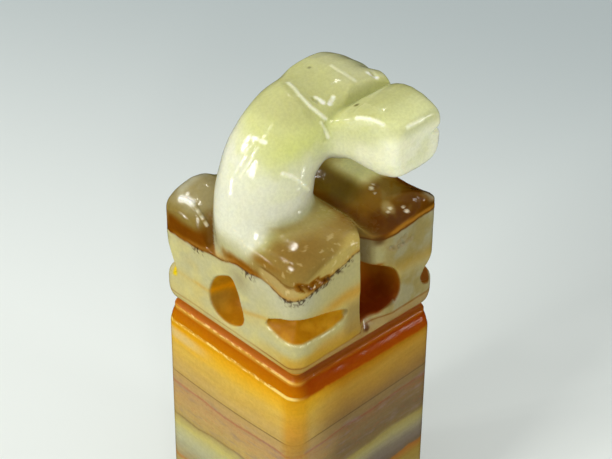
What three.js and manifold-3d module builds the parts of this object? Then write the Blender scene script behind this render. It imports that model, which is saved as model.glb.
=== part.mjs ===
// A square stone seal stamp with a carved snake knob, cut from one block of banded stone.
// Millimetres, +Z up. The origin is the middle of the sealing face, at the bottom.
// The snake's head looks along +X. The corner at (+X, -Y) is the front corner.
// Each solid is one colour bed of the block, or one carved form of the knob above the
// white bed. Neighbours meet face to face on flat planes.
import * as THREE from "three";
import { mergeVertices } from "three/addons/utils/BufferGeometryUtils.js";
import Module from "manifold-3d";

// ---------------------------------------------------------------- driving dimensions
const SIDE = 25; // side of the square block
const HALF = SIDE / 2;
const EDGE_R = 2.0; // rounding of the block's four long edges
const COLUMN_H = 42; // sealing face to the lower edge of the shoulder

const SHOULDER_H = 2.4; // height of the rounded shoulder
const GROOVE_IN = 0.95; // depth of the groove round the block, per side
const GROOVE_Z = COLUMN_H + 2.625; // root of the groove
const PLINTH_EDGE_H = 2.4; // height of the rolled lower edge of the carved block

const BED_Z = [0, 7, 12, 17.5, 21, 25.5, 28.5, 31.625]; // floors of the column's colour beds
const PLINTH_LINE_Z = COLUMN_H + 4.125; // thin brown line low in the carved block
const RING_TOP_Z = COLUMN_H + 10.125; // middle of the four corner cuts
const PLINTH_TOP_Z = COLUMN_H + 15.75; // boundary of the white bed and the knob

const CORNER_CUT = { rim: 8.6, deep: 2.6, half: 1.9, z: COLUMN_H + 10.2 }; // crescent cut at a corner
const HOLLOW = { wide: 5.0, high: 7.4, deep: 3.2 }; // blind hollow in the middle of a side
const RECESS = { wide: 8.4, high: 7.4, deep: 4.2 }; // wider recess under the head

const COIL_TOP_Z = COLUMN_H + 20.8; // crest of the snake's coil
const COIL_WIDE = 9.4; // width of the coil
const COIL_CUT = 3.25; // planes that part the coil into its three lengths
const COIL_NECK_X = -5.625; // plane where the coil meets the neck

const LOBE_TOP_Z = COLUMN_H + 20.8; // crest of the front lobe
const LOBE_CUT_X = 5.5; // plane where the front lobe meets the neck
const LOBE_CUT_Z = COLUMN_H + 21.25;

const HEAD_CUT_Y = 0.375; // plane where the neck meets the head
const HEAD_CUT_Z = COLUMN_H + 22.5;
const HEAD_MID = [-0.7, 6.4, COLUMN_H + 29.6]; // middle of the skull
const HEAD_HALF = [6.2, 6.1, 5.3]; // half sizes of the skull
const MUZZLE_X = [2.0, HALF]; // back and front of the muzzle
const MOUTH_Z = COLUMN_H + 29.9;
const BROW_X = 4.1; // groove across the head, in front of the eyes
const EYE = { x: 1.6, y: 4.2, z: COLUMN_H + 33.4, r: 1.0 }; // eyes either side of the head's middle plane

const FACE_BORDER = 1.2; // raised border round the sealing face
const FACE_DEEP = 0.8; // depth of the ground between the raised lines
const FRET_LINE = 1.0; // width of a raised line and of a gap in the fret
const FRET_MARGIN = 1.0;

// ---------------------------------------------------------------- solids
const wasm = await Module();
wasm.setup();

// A three.js geometry as a solid.
function solid(geometry) {
  const g = geometry.clone();
  for (const name of Object.keys(g.attributes))
    if (name !== "position") g.deleteAttribute(name);
  g.clearGroups();
  const m = mergeVertices(g, 1e-4);
  return new wasm.Manifold(
    new wasm.Mesh({
      numProp: 3,
      vertProperties: new Float32Array(m.attributes.position.array),
      triVerts: new Uint32Array(m.index.array),
    }),
  );
}

// A solid back as a three.js geometry: points closer than the grid are joined, and a
// triangle thinner than NEEDLE gives its long edge to its neighbour.
const GRID = 1 / 64;
const NEEDLE = 0.006;
function geometryOf(s) {
  const mesh = s.getMesh();
  const points = [];
  const at = new Map();
  const index = [];
  for (let i = 0; i < mesh.vertProperties.length / mesh.numProp; i++) {
    const v = [0, 1, 2].map(
      (k) => Math.round(mesh.vertProperties[i * mesh.numProp + k] / GRID) * GRID,
    );
    const key = v.join();
    if (!at.has(key)) {
      at.set(key, points.length);
      points.push(new THREE.Vector3(...v));
    }
    index.push(at.get(key));
  }
  let tris = [];
  for (let i = 0; i < mesh.triVerts.length; i += 3) {
    const t = [0, 1, 2].map((k) => index[mesh.triVerts[i + k]]);
    if (t[0] !== t[1] && t[1] !== t[2] && t[2] !== t[0]) tris.push(t);
  }
  const e1 = new THREE.Vector3(),
    e2 = new THREE.Vector3();
  for (let round = 0; round < 12; round++) {
    const edges = new Map();
    tris.forEach((t, i) => {
      for (let k = 0; k < 3; k++) edges.set(t[k] + "," + t[(k + 1) % 3], i);
    });
    const touched = new Set();
    let turned = 0;
    tris.forEach((t, i) => {
      if (touched.has(i)) return;
      let k = 0,
        longest = 0;
      for (let j = 0; j < 3; j++) {
        const d = points[t[j]].distanceTo(points[t[(j + 1) % 3]]);
        if (d > longest) [longest, k] = [d, j];
      }
      const [a, b, c] = [t[k], t[(k + 1) % 3], t[(k + 2) % 3]];
      e1.subVectors(points[b], points[a]);
      e2.subVectors(points[c], points[a]);
      if (e1.cross(e2).length() / longest > NEEDLE) return;
      const j = edges.get(b + "," + a);
      if (j === undefined || touched.has(j)) return;
      const d = tris[j].find((v) => v !== a && v !== b);
      if (d === c || edges.has(c + "," + d) || edges.has(d + "," + c)) return;
      tris[i] = [a, d, c];
      tris[j] = [d, b, c];
      touched.add(i).add(j);
      turned++;
    });
    if (!turned) break;
  }
  const p = new Float32Array(tris.length * 9);
  tris.flat().forEach((v, i) => points[v].toArray(p, 3 * i));
  const g = new THREE.BufferGeometry();
  g.setAttribute("position", new THREE.BufferAttribute(p, 3));
  g.computeVertexNormals();
  return g;
}

// A box between two corners.
function block(x0, y0, z0, x1, y1, z1) {
  return solid(
    new THREE.BoxGeometry(x1 - x0, y1 - y0, z1 - z0).translate(
      (x0 + x1) / 2,
      (y0 + y1) / 2,
      (z0 + z1) / 2,
    ),
  );
}

// Points round a square with rounded corners, anticlockwise seen from above.
const CORNER_STEPS = 6;
const RING_POINTS = 4 * (CORNER_STEPS + 1);
function squareRing(half, r) {
  const pts = [];
  for (let c = 0; c < 4; c++) {
    const a0 = -Math.PI / 2 + (c * Math.PI) / 2;
    const cx = (c === 0 || c === 1 ? 1 : -1) * (half - r);
    const cy = (c === 1 || c === 2 ? 1 : -1) * (half - r);
    for (let k = 0; k <= CORNER_STEPS; k++) {
      const a = a0 + (k / CORNER_STEPS) * (Math.PI / 2);
      pts.push([cx + r * Math.cos(a), cy + r * Math.sin(a)]);
    }
  }
  return pts;
}

// A stack of rounded squares: levels are [z, inset].
function stack(levels) {
  const n = levels.length - 1;
  const g = new THREE.CylinderGeometry(1, 1, 1, RING_POINTS, n, false);
  g.rotateX(Math.PI / 2); // the cylinder's axis to +Z
  const p = g.attributes.position;
  for (let i = 0; i < p.count; i++) {
    const x = p.getX(i),
      y = p.getY(i),
      level = levels[Math.round((p.getZ(i) + 0.5) * n)];
    if (Math.hypot(x, y) < 0.5) {
      p.setXYZ(i, 0, 0, level[0]);
      continue;
    }
    const turn = Math.atan2(y, x) / (2 * Math.PI);
    const k =
      ((Math.round(turn * RING_POINTS) % RING_POINTS) + RING_POINTS) %
      RING_POINTS;
    const [px, py] = squareRing(HALF - level[1], EDGE_R)[k];
    p.setXYZ(i, px, py, level[0]);
  }
  return solid(g);
}

// A closed tube with round ends along a curve, with its own half widths at each place.
// half(t) gives [across, up] and frame(t) gives the section's two directions.
function tube(curve, half, frame, steps, sides, round) {
  const g = new THREE.SphereGeometry(1, sides, steps);
  g.rotateX(Math.PI / 2); // poles to -Z and +Z
  const p = g.attributes.position;
  const q = new THREE.Vector3();
  for (let i = 0; i < p.count; i++) {
    q.fromBufferAttribute(p, i);
    const lat = Math.asin(Math.max(-1, Math.min(1, q.z))) / Math.PI + 0.5;
    const t = Math.min(1, Math.max(0, lat));
    const ring = Math.hypot(q.x, q.y);
    const a = Math.atan2(q.y, q.x);
    // the ends close like a ball: the section shrinks over the first and last part
    const s = Math.min(1, t / round, (1 - t) / round);
    const fill = ring < 1e-6 ? 0 : Math.sqrt(1 - (1 - s) * (1 - s));
    const c = curve.getPoint(t);
    const [u, v] = frame(t);
    const [hu, hv] = half(t);
    c.addScaledVector(u, Math.cos(a) * hu * fill);
    c.addScaledVector(v, Math.sin(a) * hv * fill);
    p.setXYZ(i, c.x, c.y, c.z);
  }
  return solid(g);
}

// An egg shape: rounder than a box, fuller than an ellipsoid as power falls below 2.
function egg(mid, half, power = 1, sides = 28, steps = 18) {
  const g = new THREE.SphereGeometry(1, sides, steps);
  g.rotateX(Math.PI / 2);
  const p = g.attributes.position;
  const fuller = (w) => Math.sign(w) * Math.pow(Math.abs(w), power);
  for (let i = 0; i < p.count; i++)
    p.setXYZ(
      i,
      mid[0] + half[0] * fuller(p.getX(i)),
      mid[1] + half[1] * fuller(p.getY(i)),
      mid[2] + half[2] * fuller(p.getZ(i)),
    );
  return solid(g);
}

// ---------------------------------------------------------------- the block, bottom to top
const full = (z0, z1) => stack([[z0, 0], [z1, 0]]);

// Sealing face: a raised border and a fret of square spirals, ground between the lines.
function sealingFace() {
  let bed = full(BED_Z[0], BED_Z[1]);
  const inner = HALF - FACE_BORDER;
  let cuts = [];
  const cut = (x0, y0, x1, y1) =>
    cuts.push(
      block(
        Math.min(x0, x1),
        Math.min(y0, y1),
        -1,
        Math.max(x0, x1),
        Math.max(y0, y1),
        FACE_DEEP,
      ),
    );
  // the gap just inside the border, a square ring
  const ring = (a, b) => {
    cut(-b, -b, b, -a);
    cut(-b, a, b, b);
    cut(-b, -a, -a, a);
    cut(a, -a, b, a);
  };
  ring(inner - FRET_MARGIN, inner);
  // four square spirals, one in each quarter, each turned a quarter from the last
  const q = inner - FRET_MARGIN;
  const spiral = [
    [1, q - 1, q - 1, q - 1],
    [q - 1, q - 1, q - 1, 1],
    [q - 1, 1, 3, 1],
    [3, 1, 3, q - 3],
    [3, q - 3, q - 3, q - 3],
    [q - 3, q - 3, q - 3, 3.4],
    [q - 3, 3.4, 5.2, 3.4],
  ];
  const w = FRET_LINE / 2;
  for (let k = 0; k < 4; k++) {
    const c = Math.round(Math.cos((k * Math.PI) / 2)),
      s = Math.round(Math.sin((k * Math.PI) / 2));
    for (const [x0, y0, x1, y1] of spiral) {
      const lo = [Math.min(x0, x1) - w, Math.min(y0, y1) - w];
      const hi = [Math.max(x0, x1) + w, Math.max(y0, y1) + w];
      const a = [c * lo[0] - s * lo[1], s * lo[0] + c * lo[1]];
      const b = [c * hi[0] - s * hi[1], s * hi[0] + c * hi[1]];
      cut(a[0], a[1], b[0], b[1]);
    }
  }
  for (const c of cuts) bed = bed.subtract(c);
  return bed;
}

const shoulderBed = stack([
  [BED_Z[7], 0],
  [COLUMN_H, 0],
  [COLUMN_H + 0.25 * SHOULDER_H, 0.07 * GROOVE_IN],
  [COLUMN_H + 0.5 * SHOULDER_H, 0.28 * GROOVE_IN],
  [COLUMN_H + 0.75 * SHOULDER_H, 0.6 * GROOVE_IN],
  [COLUMN_H + SHOULDER_H, GROOVE_IN],
  [GROOVE_Z, GROOVE_IN],
]);

const carvedBlock = stack([
  [GROOVE_Z, GROOVE_IN],
  [GROOVE_Z + 0.3, GROOVE_IN],
  [GROOVE_Z + 0.6, 0.6 * GROOVE_IN],
  [GROOVE_Z + 0.5 * PLINTH_EDGE_H, 0.3 * GROOVE_IN],
  [GROOVE_Z + 0.75 * PLINTH_EDGE_H, 0.1 * GROOVE_IN],
  [GROOVE_Z + PLINTH_EDGE_H, 0],
  [PLINTH_TOP_Z, 0],
]);

// Crescent cuts at the four corners, and a hollow or recess in the middle of each side.
let carved = carvedBlock;
for (const [sx, sy] of [
  [1, -1],
  [1, 1],
  [-1, 1],
  [-1, -1],
]) {
  const { rim, deep, half, z } = CORNER_CUT;
  const g = new THREE.SphereGeometry(1, 24, 12);
  g.scale(deep, rim, half);
  g.rotateZ(Math.atan2(sy, sx));
  g.translate(sx * (HALF - 0.5), sy * (HALF - 0.5), z);
  carved = carved.subtract(solid(g));
}
function sideHollow(turn, along, z, wide, high, deep, lean) {
  const g = new THREE.SphereGeometry(1, 20, 14);
  g.scale(deep, wide / 2, high / 2);
  g.rotateX(lean);
  g.translate(HALF, along, z);
  g.rotateZ(turn);
  return solid(g);
}
const H = HOLLOW,
  R = RECESS;
carved = carved
  .subtract(sideHollow(-Math.PI / 2, -0.1, COLUMN_H + 9.9, H.wide, H.high, H.deep, 0.4)) // left of the front corner
  .subtract(sideHollow(0, 1.9, COLUMN_H + 10.0, R.wide, R.high, R.deep, 0.12)) // under the head
  .subtract(sideHollow(Math.PI / 2, 0.2, COLUMN_H + 9.4, H.wide, H.high, H.deep, -0.3))
  .subtract(sideHollow(Math.PI, -0.3, COLUMN_H + 9.4, R.wide - 1.4, R.high, H.deep, 0.2));

const slice = (s, z0, z1) => s.intersect(block(-20, -20, z0, 20, 20, z1));

// ---------------------------------------------------------------- the knob
const blank = full(PLINTH_TOP_Z, COLUMN_H + 38); // the block that the knob is carved from
const up = new THREE.Vector3(0, 0, 1);

// The snake's body: a coil along the -X side and the +Y side.
const coilHeight = COIL_TOP_Z - PLINTH_TOP_Z;
const coilIn = HALF - COIL_WIDE / 2 + 0.9; // its outer flank is cut flush with the block's sides
const coilArm = (x0, y0, x1, y1, steps) => {
  const z = PLINTH_TOP_Z - 0.6;
  const path = new THREE.LineCurve3(
    new THREE.Vector3(x0, y0, z),
    new THREE.Vector3(x1, y1, z),
  );
  const d = path.getTangent(0.5);
  const across = new THREE.Vector3(-d.y, d.x, 0).normalize();
  return tube(
    path,
    () => [COIL_WIDE / 2, coilHeight + 0.6],
    () => [across, up],
    steps,
    20,
    0.16,
  );
};
const coil = coilArm(-coilIn, -HALF - 1.2, -coilIn, coilIn + 3.2, 26)
  .add(coilArm(-coilIn - 3.2, coilIn, HALF + 1.6, coilIn, 26))
  .intersect(blank);

// Front lobe at the foot of the neck.
const lobe = egg(
  [6.0, -6.2, PLINTH_TOP_Z - 0.8],
  [7.2, 7.2, LOBE_TOP_Z - PLINTH_TOP_Z + 0.8],
  0.74,
).intersect(blank);

// Neck: rises by the front corner, leans back and bends over to the +Y side.
const neckPath = new THREE.CatmullRomCurve3(
  [
    [0.7, -6.2, 11.5],
    [0.6, -6.2, 17.0],
    [0.4, -5.7, 21.5],
    [-0.3, -4.0, 25.2],
    [-1.1, -1.0, 28.1],
    [-1.4, 3.2, 29.8],
    [-1.2, 7.0, 29.6],
  ].map(([x, y, z]) => new THREE.Vector3(x, y, COLUMN_H + z)),
);
const side = new THREE.Vector3(1, 0, 0);
const neck = tube(
  neckPath,
  (t) => [6.25 - 0.8 * t, 6.25 - 1.3 * t],
  (t) => {
    const d = neckPath.getTangent(t);
    const v = new THREE.Vector3().crossVectors(d, side).normalize();
    return [new THREE.Vector3().crossVectors(v, d).normalize(), v];
  },
  26,
  26,
  0.12,
).intersect(blank);

// Head: skull and muzzle, with the mouth slit, the brow groove and two eyes.
const skull = egg(HEAD_MID, HEAD_HALF, 0.72);
const muzzleShape = new THREE.Shape();
{
  const w = 1,
    r = 0.32;
  muzzleShape.moveTo(-w + r, -w);
  muzzleShape.lineTo(w - r, -w);
  muzzleShape.quadraticCurveTo(w, -w, w, -w + r);
  muzzleShape.lineTo(w, w - r);
  muzzleShape.quadraticCurveTo(w, w, w - r, w);
  muzzleShape.lineTo(-w + r, w);
  muzzleShape.quadraticCurveTo(-w, w, -w, w - r);
  muzzleShape.lineTo(-w, -w + r);
  muzzleShape.quadraticCurveTo(-w, -w, -w + r, -w);
}
const muzzleGeometry = new THREE.ExtrudeGeometry(muzzleShape, {
  depth: 1,
  steps: 8,
  bevelEnabled: false,
  curveSegments: 4,
});
{
  const p = muzzleGeometry.attributes.position;
  for (let i = 0; i < p.count; i++) {
    const t = p.getZ(i);
    const x = THREE.MathUtils.lerp(MUZZLE_X[0], MUZZLE_X[1], t);
    const y0 = THREE.MathUtils.lerp(0.6, 4.3, t); // side towards the neck
    const y1 = THREE.MathUtils.lerp(12.1, 11.8, t);
    const z0 = 25.4 + 0.3 * t;
    const z1 = THREE.MathUtils.lerp(33.0, 33.6, t);
    const end = 1 - 0.06 * Math.pow(Math.max(0, t - 0.75) / 0.25, 2); // the lips round in
    p.setXYZ(
      i,
      x,
      (y0 + y1) / 2 + (p.getX(i) * (y1 - y0) * end) / 2,
      COLUMN_H + (z0 + z1) / 2 + (p.getY(i) * (z1 - z0) * end) / 2,
    );
  }
}
const browCut = block(-0.7, -8, -0.7, 0.7, 8, 0.7)
  .rotate([0, 45, 0])
  .translate([BROW_X, 6, COLUMN_H + 34.0]);
let head = skull.add(solid(muzzleGeometry)).intersect(blank);
head = head.subtract(browCut);
head = head.subtract(
  block(HALF - 1.6, 0, MOUTH_Z - 0.3, HALF + 1, 14, MOUTH_Z + 0.3),
);
for (const s of [-1, 1])
  head = head.subtract(
    egg([EYE.x, HEAD_MID[1] + s * EYE.y, EYE.z + 0.8], [EYE.r, EYE.r, EYE.r], 1, 12, 8),
  );

// The knob's forms, parted on flat planes.
const headRoom = block(-20, HEAD_CUT_Y, HEAD_CUT_Z, 20, 20, COLUMN_H + 45);
const lobeRoom = block(LOBE_CUT_X, -20, PLINTH_TOP_Z, 20, 3.6, LOBE_CUT_Z);
const coilRoom = block(-20, -20, 0, COIL_NECK_X, 20, LOBE_CUT_Z);
const body = neck.add(lobe).subtract(coilRoom);
const headSolid = head.add(neck).intersect(headRoom);
const neckSolid = body.add(head).subtract(headRoom).subtract(lobeRoom);
const lobeSolid = body.intersect(lobeRoom);

// Only the largest body of a cut piece is kept, so that no loose sliver stays with it.
function largest(s) {
  return s.decompose().sort((a, b) => b.volume() - a.volume())[0];
}

// ---------------------------------------------------------------- the assembly
const root = new THREE.Group();
root.name = "seal_stamp";
function add(name, s, color, roughness) {
  const mesh = new THREE.Mesh(
    geometryOf(largest(s)),
    new THREE.MeshStandardMaterial({ color, roughness, metalness: 0 }),
  );
  mesh.name = name;
  root.add(mesh);
}

add("seal_face_bed", sealingFace(), 0xa98a5c, 0.35);
add("base_bed_cream", full(BED_Z[1], BED_Z[2]), 0xc9bb92, 0.2);
add("base_bed_brown", full(BED_Z[2], BED_Z[3]), 0x8f6238, 0.2);
add("column_bed_yellow_green", full(BED_Z[3], BED_Z[4]), 0xb9a04a, 0.2);
add("column_bed_grey_lilac", full(BED_Z[4], BED_Z[5]), 0x8b7f78, 0.2);
add("column_bed_greenish_white", full(BED_Z[5], BED_Z[6]), 0xbfc0a4, 0.2);
add("column_bed_red_lined", full(BED_Z[6], BED_Z[7]), 0xa9855c, 0.2);
add("shoulder_bed_amber", shoulderBed, 0xd08f2c, 0.15);
add("plinth_foot_bed", slice(carved, GROOVE_Z, PLINTH_LINE_Z), 0xd9cfa8, 0.2);
add("plinth_ring_bed", slice(carved, PLINTH_LINE_Z, RING_TOP_Z), 0xc9c8a8, 0.2);
add("plinth_lobe_bed", slice(carved, RING_TOP_Z, PLINTH_TOP_Z), 0xc4c5a6, 0.2);
add("coil_left", coil.intersect(block(-20, -20, 0, -COIL_CUT, COIL_CUT, 100)).subtract(block(COIL_NECK_X, -20, 0, 20, 1, 100)), 0x7d5a2c, 0.12);
add("coil_back", coil.intersect(block(-20, COIL_CUT, 0, -COIL_CUT, 20, 100)), 0x7a4f28, 0.12);
add("coil_right", coil.intersect(block(-COIL_CUT, COIL_CUT, 0, 20, 20, 100)), 0x8a5428, 0.12);
add("front_lobe", lobeSolid, 0xa5823f, 0.12);
add("snake_neck", neckSolid, 0xd0d69a, 0.12);
add("snake_head", headSolid, 0xcfd38c, 0.14);

export default root;
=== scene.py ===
import math

import bmesh
import bpy
import numpy as np
from mathutils import Matrix, Vector


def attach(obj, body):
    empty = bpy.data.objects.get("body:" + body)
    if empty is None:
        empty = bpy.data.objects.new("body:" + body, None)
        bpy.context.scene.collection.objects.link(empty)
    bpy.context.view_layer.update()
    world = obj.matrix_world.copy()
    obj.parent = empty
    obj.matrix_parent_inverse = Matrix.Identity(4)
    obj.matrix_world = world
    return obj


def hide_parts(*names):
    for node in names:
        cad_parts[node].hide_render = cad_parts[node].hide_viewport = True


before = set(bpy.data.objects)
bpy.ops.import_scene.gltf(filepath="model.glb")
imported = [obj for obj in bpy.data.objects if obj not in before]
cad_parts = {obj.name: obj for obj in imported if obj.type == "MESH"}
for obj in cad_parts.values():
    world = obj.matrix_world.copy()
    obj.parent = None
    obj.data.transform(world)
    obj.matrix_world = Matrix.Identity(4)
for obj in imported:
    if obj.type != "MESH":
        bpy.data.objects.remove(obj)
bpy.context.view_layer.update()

LENGTH = 42.0  # column below the shoulder's lower edge

HALF, EDGE_R = 12.5, 2.0


def smin(a, b, k):
    h = np.clip(0.5 + 0.5 * (b - a) / k, 0, 1)
    return b + (a - b) * h - k * h * (1 - h)


def smax(a, b, k):
    return -smin(-a, -b, k)


def square(x, y, half, r):
    ax, ay = np.abs(x) - (half - r), np.abs(y) - (half - r)
    return np.hypot(np.maximum(ax, 0), np.maximum(ay, 0)) + np.minimum(np.maximum(ax, ay), 0) - r


def turned(x, y, z, mid, rz=0.0, rx=0.0, ry=0.0):
    """Coordinates about mid, turned back by rz, then rx, then ry (degrees)."""
    x, y, z = x - mid[0], y - mid[1], z - mid[2]
    if rz:
        c, s = np.cos(np.radians(rz)), np.sin(np.radians(rz))
        x, y = c * x + s * y, -s * x + c * y
    if rx:
        c, s = np.cos(np.radians(rx)), np.sin(np.radians(rx))
        y, z = c * y + s * z, -s * y + c * z
    if ry:
        c, s = np.cos(np.radians(ry)), np.sin(np.radians(ry))
        x, z = c * x - s * z, s * x + c * z
    return x, y, z


def egg(x, y, z, mid, half, n=2.0, rz=0.0, rx=0.0, ry=0.0):
    """Superellipsoid, n = 2 an ellipsoid, more = boxier."""
    x, y, z = turned(x, y, z, mid, rz, rx, ry)
    a, b, c = np.abs(x) / half[0] + 1e-6, np.abs(y) / half[1] + 1e-6, np.abs(z) / half[2] + 1e-6
    k = (a**n + b**n + c**n) ** (1 / n)
    g = np.sqrt((a ** (n - 1) / half[0]) ** 2 + (b ** (n - 1) / half[1]) ** 2 + (c ** (n - 1) / half[2]) ** 2)
    g = g * k ** (1 - n)
    return (k - 1) / np.maximum(g, 1e-6)


def box(x, y, z, mid, half, r=0.0, rz=0.0, rx=0.0, ry=0.0):
    x, y, z = turned(x, y, z, mid, rz, rx, ry)
    a, b, c = np.abs(x) - half[0] + r, np.abs(y) - half[1] + r, np.abs(z) - half[2] + r
    out = np.sqrt(np.maximum(a, 0) ** 2 + np.maximum(b, 0) ** 2 + np.maximum(c, 0) ** 2)
    return out + np.minimum(np.maximum(np.maximum(a, b), c), 0) - r


def capsule(x, y, z, a, b, ra, rb):
    ax, ay, az = b[0] - a[0], b[1] - a[1], b[2] - a[2]
    px, py, pz = x - a[0], y - a[1], z - a[2]
    t = np.clip((px * ax + py * ay + pz * az) / (ax * ax + ay * ay + az * az), 0, 1)
    return np.sqrt((px - t * ax) ** 2 + (py - t * ay) ** 2 + (pz - t * az) ** 2) - (ra + (rb - ra) * t)


def smooth_path(points, steps):
    """Catmull-Rom through the points, of any width."""
    p = np.asarray(points, float)
    p = np.vstack([2 * p[0] - p[1], p, 2 * p[-1] - p[-2]])
    out = []
    for i in range(1, len(p) - 2):
        for s in range(steps):
            t = s / steps
            out.append(
                0.5
                * (
                    2 * p[i]
                    + (p[i + 1] - p[i - 1]) * t
                    + (2 * p[i - 1] - 5 * p[i] + 4 * p[i + 1] - p[i + 2]) * t**2
                    + (3 * p[i] - p[i - 1] - 3 * p[i + 1] + p[i + 2]) * t**3
                )
            )
    out.append(p[-2])
    return np.array(out)


def worm(x, y, z, rows):
    """A thick line through rows of (x, y, z, radius)."""
    q = smooth_path(rows, 10).astype(np.float32)
    c, r = q[:, :3], q[:, 3]
    out = np.empty(x.shape, np.float32)
    for i in range(0, len(x), 60000):
        p = np.stack([x[i : i + 60000], y[i : i + 60000], z[i : i + 60000]], 1).astype(np.float32)
        f = (p * p).sum(1)[:, None] - 2 * p @ c.T + (c * c).sum(1)[None]
        k = np.clip(f.argmin(1), 1, len(c) - 2)
        j = np.arange(len(k))
        f0, f1, f2 = f[j, k - 1], f[j, k], f[j, k + 1]
        t = np.clip(0.5 * (f0 - f2) / np.maximum(f0 - 2 * f1 + f2, 1e-6), -1, 1)
        near = f1 - 0.25 * (f0 - f2) * t
        out[i : i + 60000] = np.sqrt(np.maximum(near, 0)) - np.interp(k + t, np.arange(len(r)), r)
    return out


def rounded(points, times=2):
    """A closed outline with its corners cut off twice."""
    p = np.asarray(points, float)
    for _ in range(times):
        n = np.roll(p, -1, 0)
        p = np.stack([0.75 * p + 0.25 * n, 0.25 * p + 0.75 * n], 1).reshape(-1, 2)
    return p


def outline(u, v, points):
    """Signed distance to a closed outline in a plane, negative inside."""
    p = np.asarray(points, float)
    d = np.full(u.shape, 1e9, u.dtype)
    inside = np.zeros(u.shape, bool)
    for (ax, ay), (bx, by) in zip(p, np.roll(p, -1, 0)):
        ex, ey = bx - ax, by - ay
        t = np.clip(((u - ax) * ex + (v - ay) * ey) / (ex * ex + ey * ey), 0, 1)
        d = np.minimum(d, (u - ax - t * ex) ** 2 + (v - ay - t * ey) ** 2)
        if ay != by:
            inside ^= ((ay > v) != (by > v)) & (u < (bx - ax) * (v - ay) / (by - ay) + ax)
    d = np.sqrt(d)
    return np.where(inside, -d, d)


def curve(points):
    """Piecewise value of one variable, rounded a little at its joints."""
    p = np.asarray(points, float)
    t = np.linspace(p[0, 0], p[-1, 0], 400)
    v = np.interp(t, p[:, 0], p[:, 1])
    n = 9
    w = np.concatenate([np.full(n, v[0]), v, np.full(n, v[-1])])
    v = np.convolve(w, np.hanning(2 * n + 3)[1:-1] / np.hanning(2 * n + 3)[1:-1].sum(), "valid")
    return lambda a: np.interp(a, t, v)


# How far the four walls stand in, by height: shoulder, groove, rolled lower edge of the carved block.
INSET = curve(
    [(-1.4, 0), (-1.0, 0.01), (-0.72, 0.05), (-0.45, 0.14), (0.2, 0.27), (0.75, 0.46), (1.15, 0.61), (1.45, 0.62), (1.7, 0.61), (1.9, 0.7), (2.05, 0.9),
     (2.3, 1.12), (2.75, 1.2), (2.95, 1.1), (3.1, 0.86), (3.35, 0.58), (3.75, 0.33), (4.3, 0.14), (4.9, 0.03), (5.4, 0)]
)


def groove_level(x, y):
    """The groove was sawn a little off level: it stands highest at the front corner."""
    return -0.03 * np.hypot(12.5 - x, y + 12.5)


# Corner cuts: t runs round the corner, less than 0 on the face before it and more on the face after it.
CORNERS = {
    "front": dict(
        sign=(1, -1),
        top=curve([(-6.4, 8.6), (-5.6, 9.3), (-4.93, 10.38), (-2.78, 11.7), (-1.36, 12.26), (0, 12.5), (1.4, 12.39), (3.06, 11.9), (5.77, 11.22), (7.9, 10.4), (8.9, 9.9), (9.4, 9.0), (10.2, 8.0)]),
        low=curve([(-6.4, 9.9), (-5.6, 9.3), (-4.7, 8.67), (-2.78, 8.19), (0, 8.15), (3.0, 7.98), (6.19, 7.77), (7.9, 8.24), (8.9, 9.11), (9.4, 10.0), (10.2, 11.0)]),
        stand=0.75, r=6.2, up=0.35, down=0.95,
    ),
    "left": dict(
        sign=(-1, -1),
        top=curve([(-3.4, 7.2), (-2.6, 8.7), (-1.5, 10.9), (0, 12.7), (3, 12.0), (6, 11.0), (7.6, 9.6), (8.6, 8.0)]),
        low=curve([(-3.4, 8.4), (-2.6, 7.2), (-1.5, 6.5), (0, 6.1), (3, 6.8), (6, 7.6), (7.6, 8.8), (8.6, 10.0)]),
        stand=0.35, r=4.6, up=2.3, down=1.5,
    ),
    "right": dict(
        sign=(1, 1),
        top=curve([(-7.5, 8.4), (-6.5, 9.6), (-4, 10.8), (-1, 11.0), (0, 10.7), (1.2, 10.1), (2.3, 9.2), (3.0, 8.0), (3.6, 7.0)]),
        low=curve([(-7.5, 9.8), (-6.5, 8.6), (-4, 7.2), (-1, 6.5), (0, 6.2), (1.2, 6.0), (2.3, 6.4), (3.0, 7.2), (3.6, 8.2)]),
        stand=0.45, r=4.2, up=1.6, down=1.1,
    ),
    "back": dict(
        sign=(-1, 1),
        top=curve([(-8.2, 8.0), (-7.2, 9.4), (-4, 11.2), (0, 12.1), (3, 11.6), (5.5, 10.2), (6.3, 9.2), (7, 8.0)]),
        low=curve([(-8.2, 10.0), (-7.2, 8.8), (-4, 7.8), (0, 7.6), (3, 7.9), (5.5, 8.7), (6.3, 9.4), (7, 10.4)]),
        stand=0.6, r=5.6, up=0.5, down=0.95,
    ),
}

# Hollow in the left face, as its rim lies on the face (x, z), and the three others by the same hand.
HOLLOW_LEFT = [(-2.5, 11.1), (-0.9, 12.3), (0.95, 13.15), (1.9, 11.3), (2.7, 9.3), (3.2, 7.5), (2.8, 6.3), (1.8, 5.4), (0.1, 4.8), (-1.6, 4.9), (-2.9, 5.7), (-3.6, 6.9), (-3.5, 8.9)]
HOLLOW_LEFT = rounded(HOLLOW_LEFT, 2)
RECESS_RIGHT = [(-1.55, 13.6), (1.6, 13.5), (3.3, 12.8), (4.6, 11.9), (5.4, 10.7), (6.0, 8.5), (5.7, 6.8), (4.4, 5.7), (1.8, 5.5), (-0.6, 5.3), (-1.45, 5.9)]
RECESS_RIGHT = rounded(RECESS_RIGHT, 2)


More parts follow.
